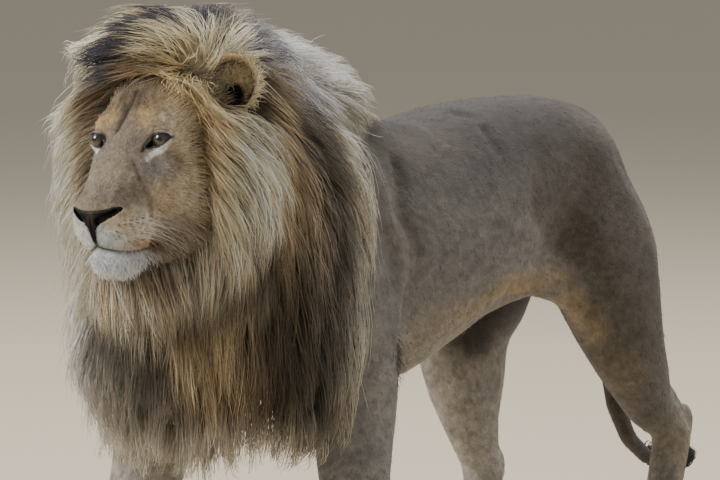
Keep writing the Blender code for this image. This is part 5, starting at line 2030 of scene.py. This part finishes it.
@dataclass
class EarHair:
  """Golden hair over both ears, with a dark hollow low on the cup's outer side."""

  places: int = 5
  inside: int = 1100
  rim: int = 600

  def build(self) -> Piece:
    """Inside hair leans away from the hollow, and rim and back hair outwards."""
    rng = np.random.default_rng(44)
    all_paths, all_colours = [], []
    steps = shares(self.places)
    for side in SIDES:
      middle, axes = EARS.frame(side)
      roots = Roots(EARS.surface(side))
      outer = 1 if (axes[0] @ HEAD_AXES[1])*side > 0 else -1
      hollow = array([.002*outer, -.012, -.019])

      def in_cup(points: Array) -> Array:
        """The cup's inner face, away from the hollow."""
        across, ahead, up = EARS.local(side, points).T
        cup = (ahead > -.0235) & (hypot(across, up) < .042)
        return cup*ramp(.014, .019, hypot(across - hollow[0], up - hollow[2]))

      def on_rim(points: Array) -> Array:
        """The rolled edge and the back."""
        across, _, up = EARS.local(side, points).T
        return ramp(.03, .04, hypot(across, up)) + .15

      for keep, number, length, seed in ((in_cup, self.inside, .021, 61), (on_rim, self.rim, .013, 62)):
        points, _ = roots.scatter(number, keep, seed)
        local = (points - middle) @ axes.T
        if keep is in_cup:
          away = unit((local - hollow)*[1, .3, 1])
          aim = .3*away + [.25*outer, .85, .3]
        else:
          aim = .9*unit(local*[1, 0, 1]) + [0, .35, .1]
        aim = unit(aim + .3*rng.normal(size=aim.shape))
        lengths = length*rng.uniform(.6, 1.25, number)[:, None, None]
        bend = .55*rng.normal(size=(number, 1, 3))
        paths = local[:, None] + lengths*(steps*aim[:, None] + steps**2*bend*.5)
        all_paths.append(middle + paths @ axes)
        back = (ramp(-.004, -.012, local[:, 1])*ramp(.028, .034, hypot(local[:, 0], local[:, 2])))[:, None]
        shade = exp(.22*rng.normal(size=(number, 1, 1)))
        gold = blended(1.5*tone(226, 206, 168), tone(36, 31, 30), back)
        light = linspace(.55, 1.2, self.places)[None, :, None]
        all_colours.append(clip(gold[:, None]*shade*light, 0, .95))
    paths = concatenate(all_paths)
    widths = .00075*(1 - .85*steps[..., 0])*ones((len(paths), 1))
    return hair_piece("ear_hair", paths, widths, concatenate(all_colours), COAT_HAIR, Slot.COAT)


@dataclass
class TailTuft:
  """The black brush at the end of the tail."""

  count: int = 1120
  places: int = 6

  def build(self) -> Piece:
    """Hairs that leave the last stretch of the tail backwards and close to a point."""
    rng = np.random.default_rng(55)
    route = array([(0, y, z) for y, z, _ in BODY.tail])
    start = 8.9 + 1.9*rng.random(self.count)**.8
    low = start.astype(int)
    roots = blended(route[low], route[low + 1], start - low)
    angle = rng.uniform(0, tau, self.count)
    out = stack(cos(angle), zeros(self.count), sin(angle))[:, None]
    lengths = minimum(rng.uniform(.05, .11, self.count), (1.24 - roots[:, 1])*rng.uniform(.75, 1, self.count))
    steps = shares(self.places)
    reach = (roots[:, 1] + lengths)[:, None, None]
    flare = .02*sin(pi*steps**.8)*rng.uniform(.4, 1, (self.count, 1, 1)) + .01*(1 - steps)
    flare = flare + .006*rng.random((self.count, 1, 1))*steps*ramp(1.24, 1.16, reach)
    paths = roots[:, None] + [0, 1, .03]*steps*lengths[:, None, None] + out*flare
    widths = .0011*(1 - .8*steps[..., 0])*ones((self.count, 1))
    shade = exp(.3*rng.normal(size=(self.count, 1, 1)))
    colours = clip(tone(40, 36, 38)*shade*ones((1, self.places, 1)), 0, .9)
    return hair_piece("tail_brush", paths, widths, colours, MANE_HAIR, Slot.TUFT)


# ---------------- studio

@dataclass
class Studio:
  """A pale floor, soft light and a long lens at the lion's head height."""

  lens: float = 200
  bearing: float = radians(35.5)
  dip: float = radians(5.5)
  place: Triple = (4.09717, -5.67838, 1.46044)

  def floor(self) -> None:
    """A large plain floor, level with the soles."""
    half = 120
    corners = array([(-half, -half, 0), (half, -half, 0), (half, half, 0), (-half, half, 0)]) - SHIFT*[1,
        1, 0]
    floor = mesh_piece("floor", Surface(corners, array([[0, 1, 2, 3]])))
    floor.data.materials.append(STUDIO_FLOOR.material())

  def camera(self) -> None:
    """The scene's camera, turned by its bearing and dip."""
    lens = bpy.data.cameras.new("camera")
    lens.lens = self.lens
    lens.sensor_width = 36
    lens.clip_end = 300
    look = (-math.sin(self.bearing)*math.cos(self.dip), math.cos(self.bearing)*math.cos(self.dip),
        -math.sin(self.dip))
    bpy.context.scene.camera = self.placed("camera", lens, array(self.place) + SHIFT, look)

  def placed(self, name: str, data: bpy.types.ID, place: tuple, look: tuple) -> Piece:
    """A new object at a place that faces along a direction."""
    made = bpy.data.objects.new(name, data)
    made.location = Vector(place)
    made.rotation_mode = "QUATERNION"
    made.rotation_quaternion = Vector(look).to_track_quat("-Z", "Y")
    bpy.context.scene.collection.objects.link(made)
    return made

  def lamp(self, name: str, place: tuple, aim: tuple, size: float, power: float, colour: tuple) -> None:
    """One square soft light that faces a point."""
    light = bpy.data.lights.new(name, "AREA")
    light.shape, light.size, light.energy, light.color = "SQUARE", size, power, colour
    self.placed(name, light, place, Vector(aim) - Vector(place))

  def lights(self) -> None:
    """An even sky, a broad light overhead, and softer ones in front and behind."""
    world = bpy.data.worlds.new("soft_sky")
    world.use_nodes = True
    sky = world.node_tree.nodes["Background"]
    sky.inputs["Color"].default_value = (.97, .98, 1, 1)
    sky.inputs["Strength"].default_value = .42
    bpy.context.scene.world = world
    self.lamp("overhead", (-2, 1.5, 7), (0, 0, .8), 5, 560, (1, .98, .96))
    self.lamp("front", (-4.5, -6.5, 4.5), (0, -.6, .9), 3, 480, (1, .98, .95))
    self.lamp("rim", (3.5, 5, 4.5), (0, .2, .8), 3, 160, (.97, .98, 1))

  def build(self) -> None:
    """Floor, camera and lights."""
    self.floor()
    self.camera()
    self.lights()


def main() -> None:
  """Builds every sub-assembly in order."""
  logging.basicConfig(level=logging.INFO, format="%(message)s")
  roots = Roots(Skin().build())
  for opening, node in zip(EYES, ("eye_left", "eye_right")):
    Eyeball(opening, node).build()
    EyeRim(opening).build()
  for part in (NosePad(), Whiskers(), Claws(), Mane(roots), ShortCoat(roots), EarHair(), TailTuft(),
      Studio()):
    part.build()


if __name__ == "__main__":
  main()
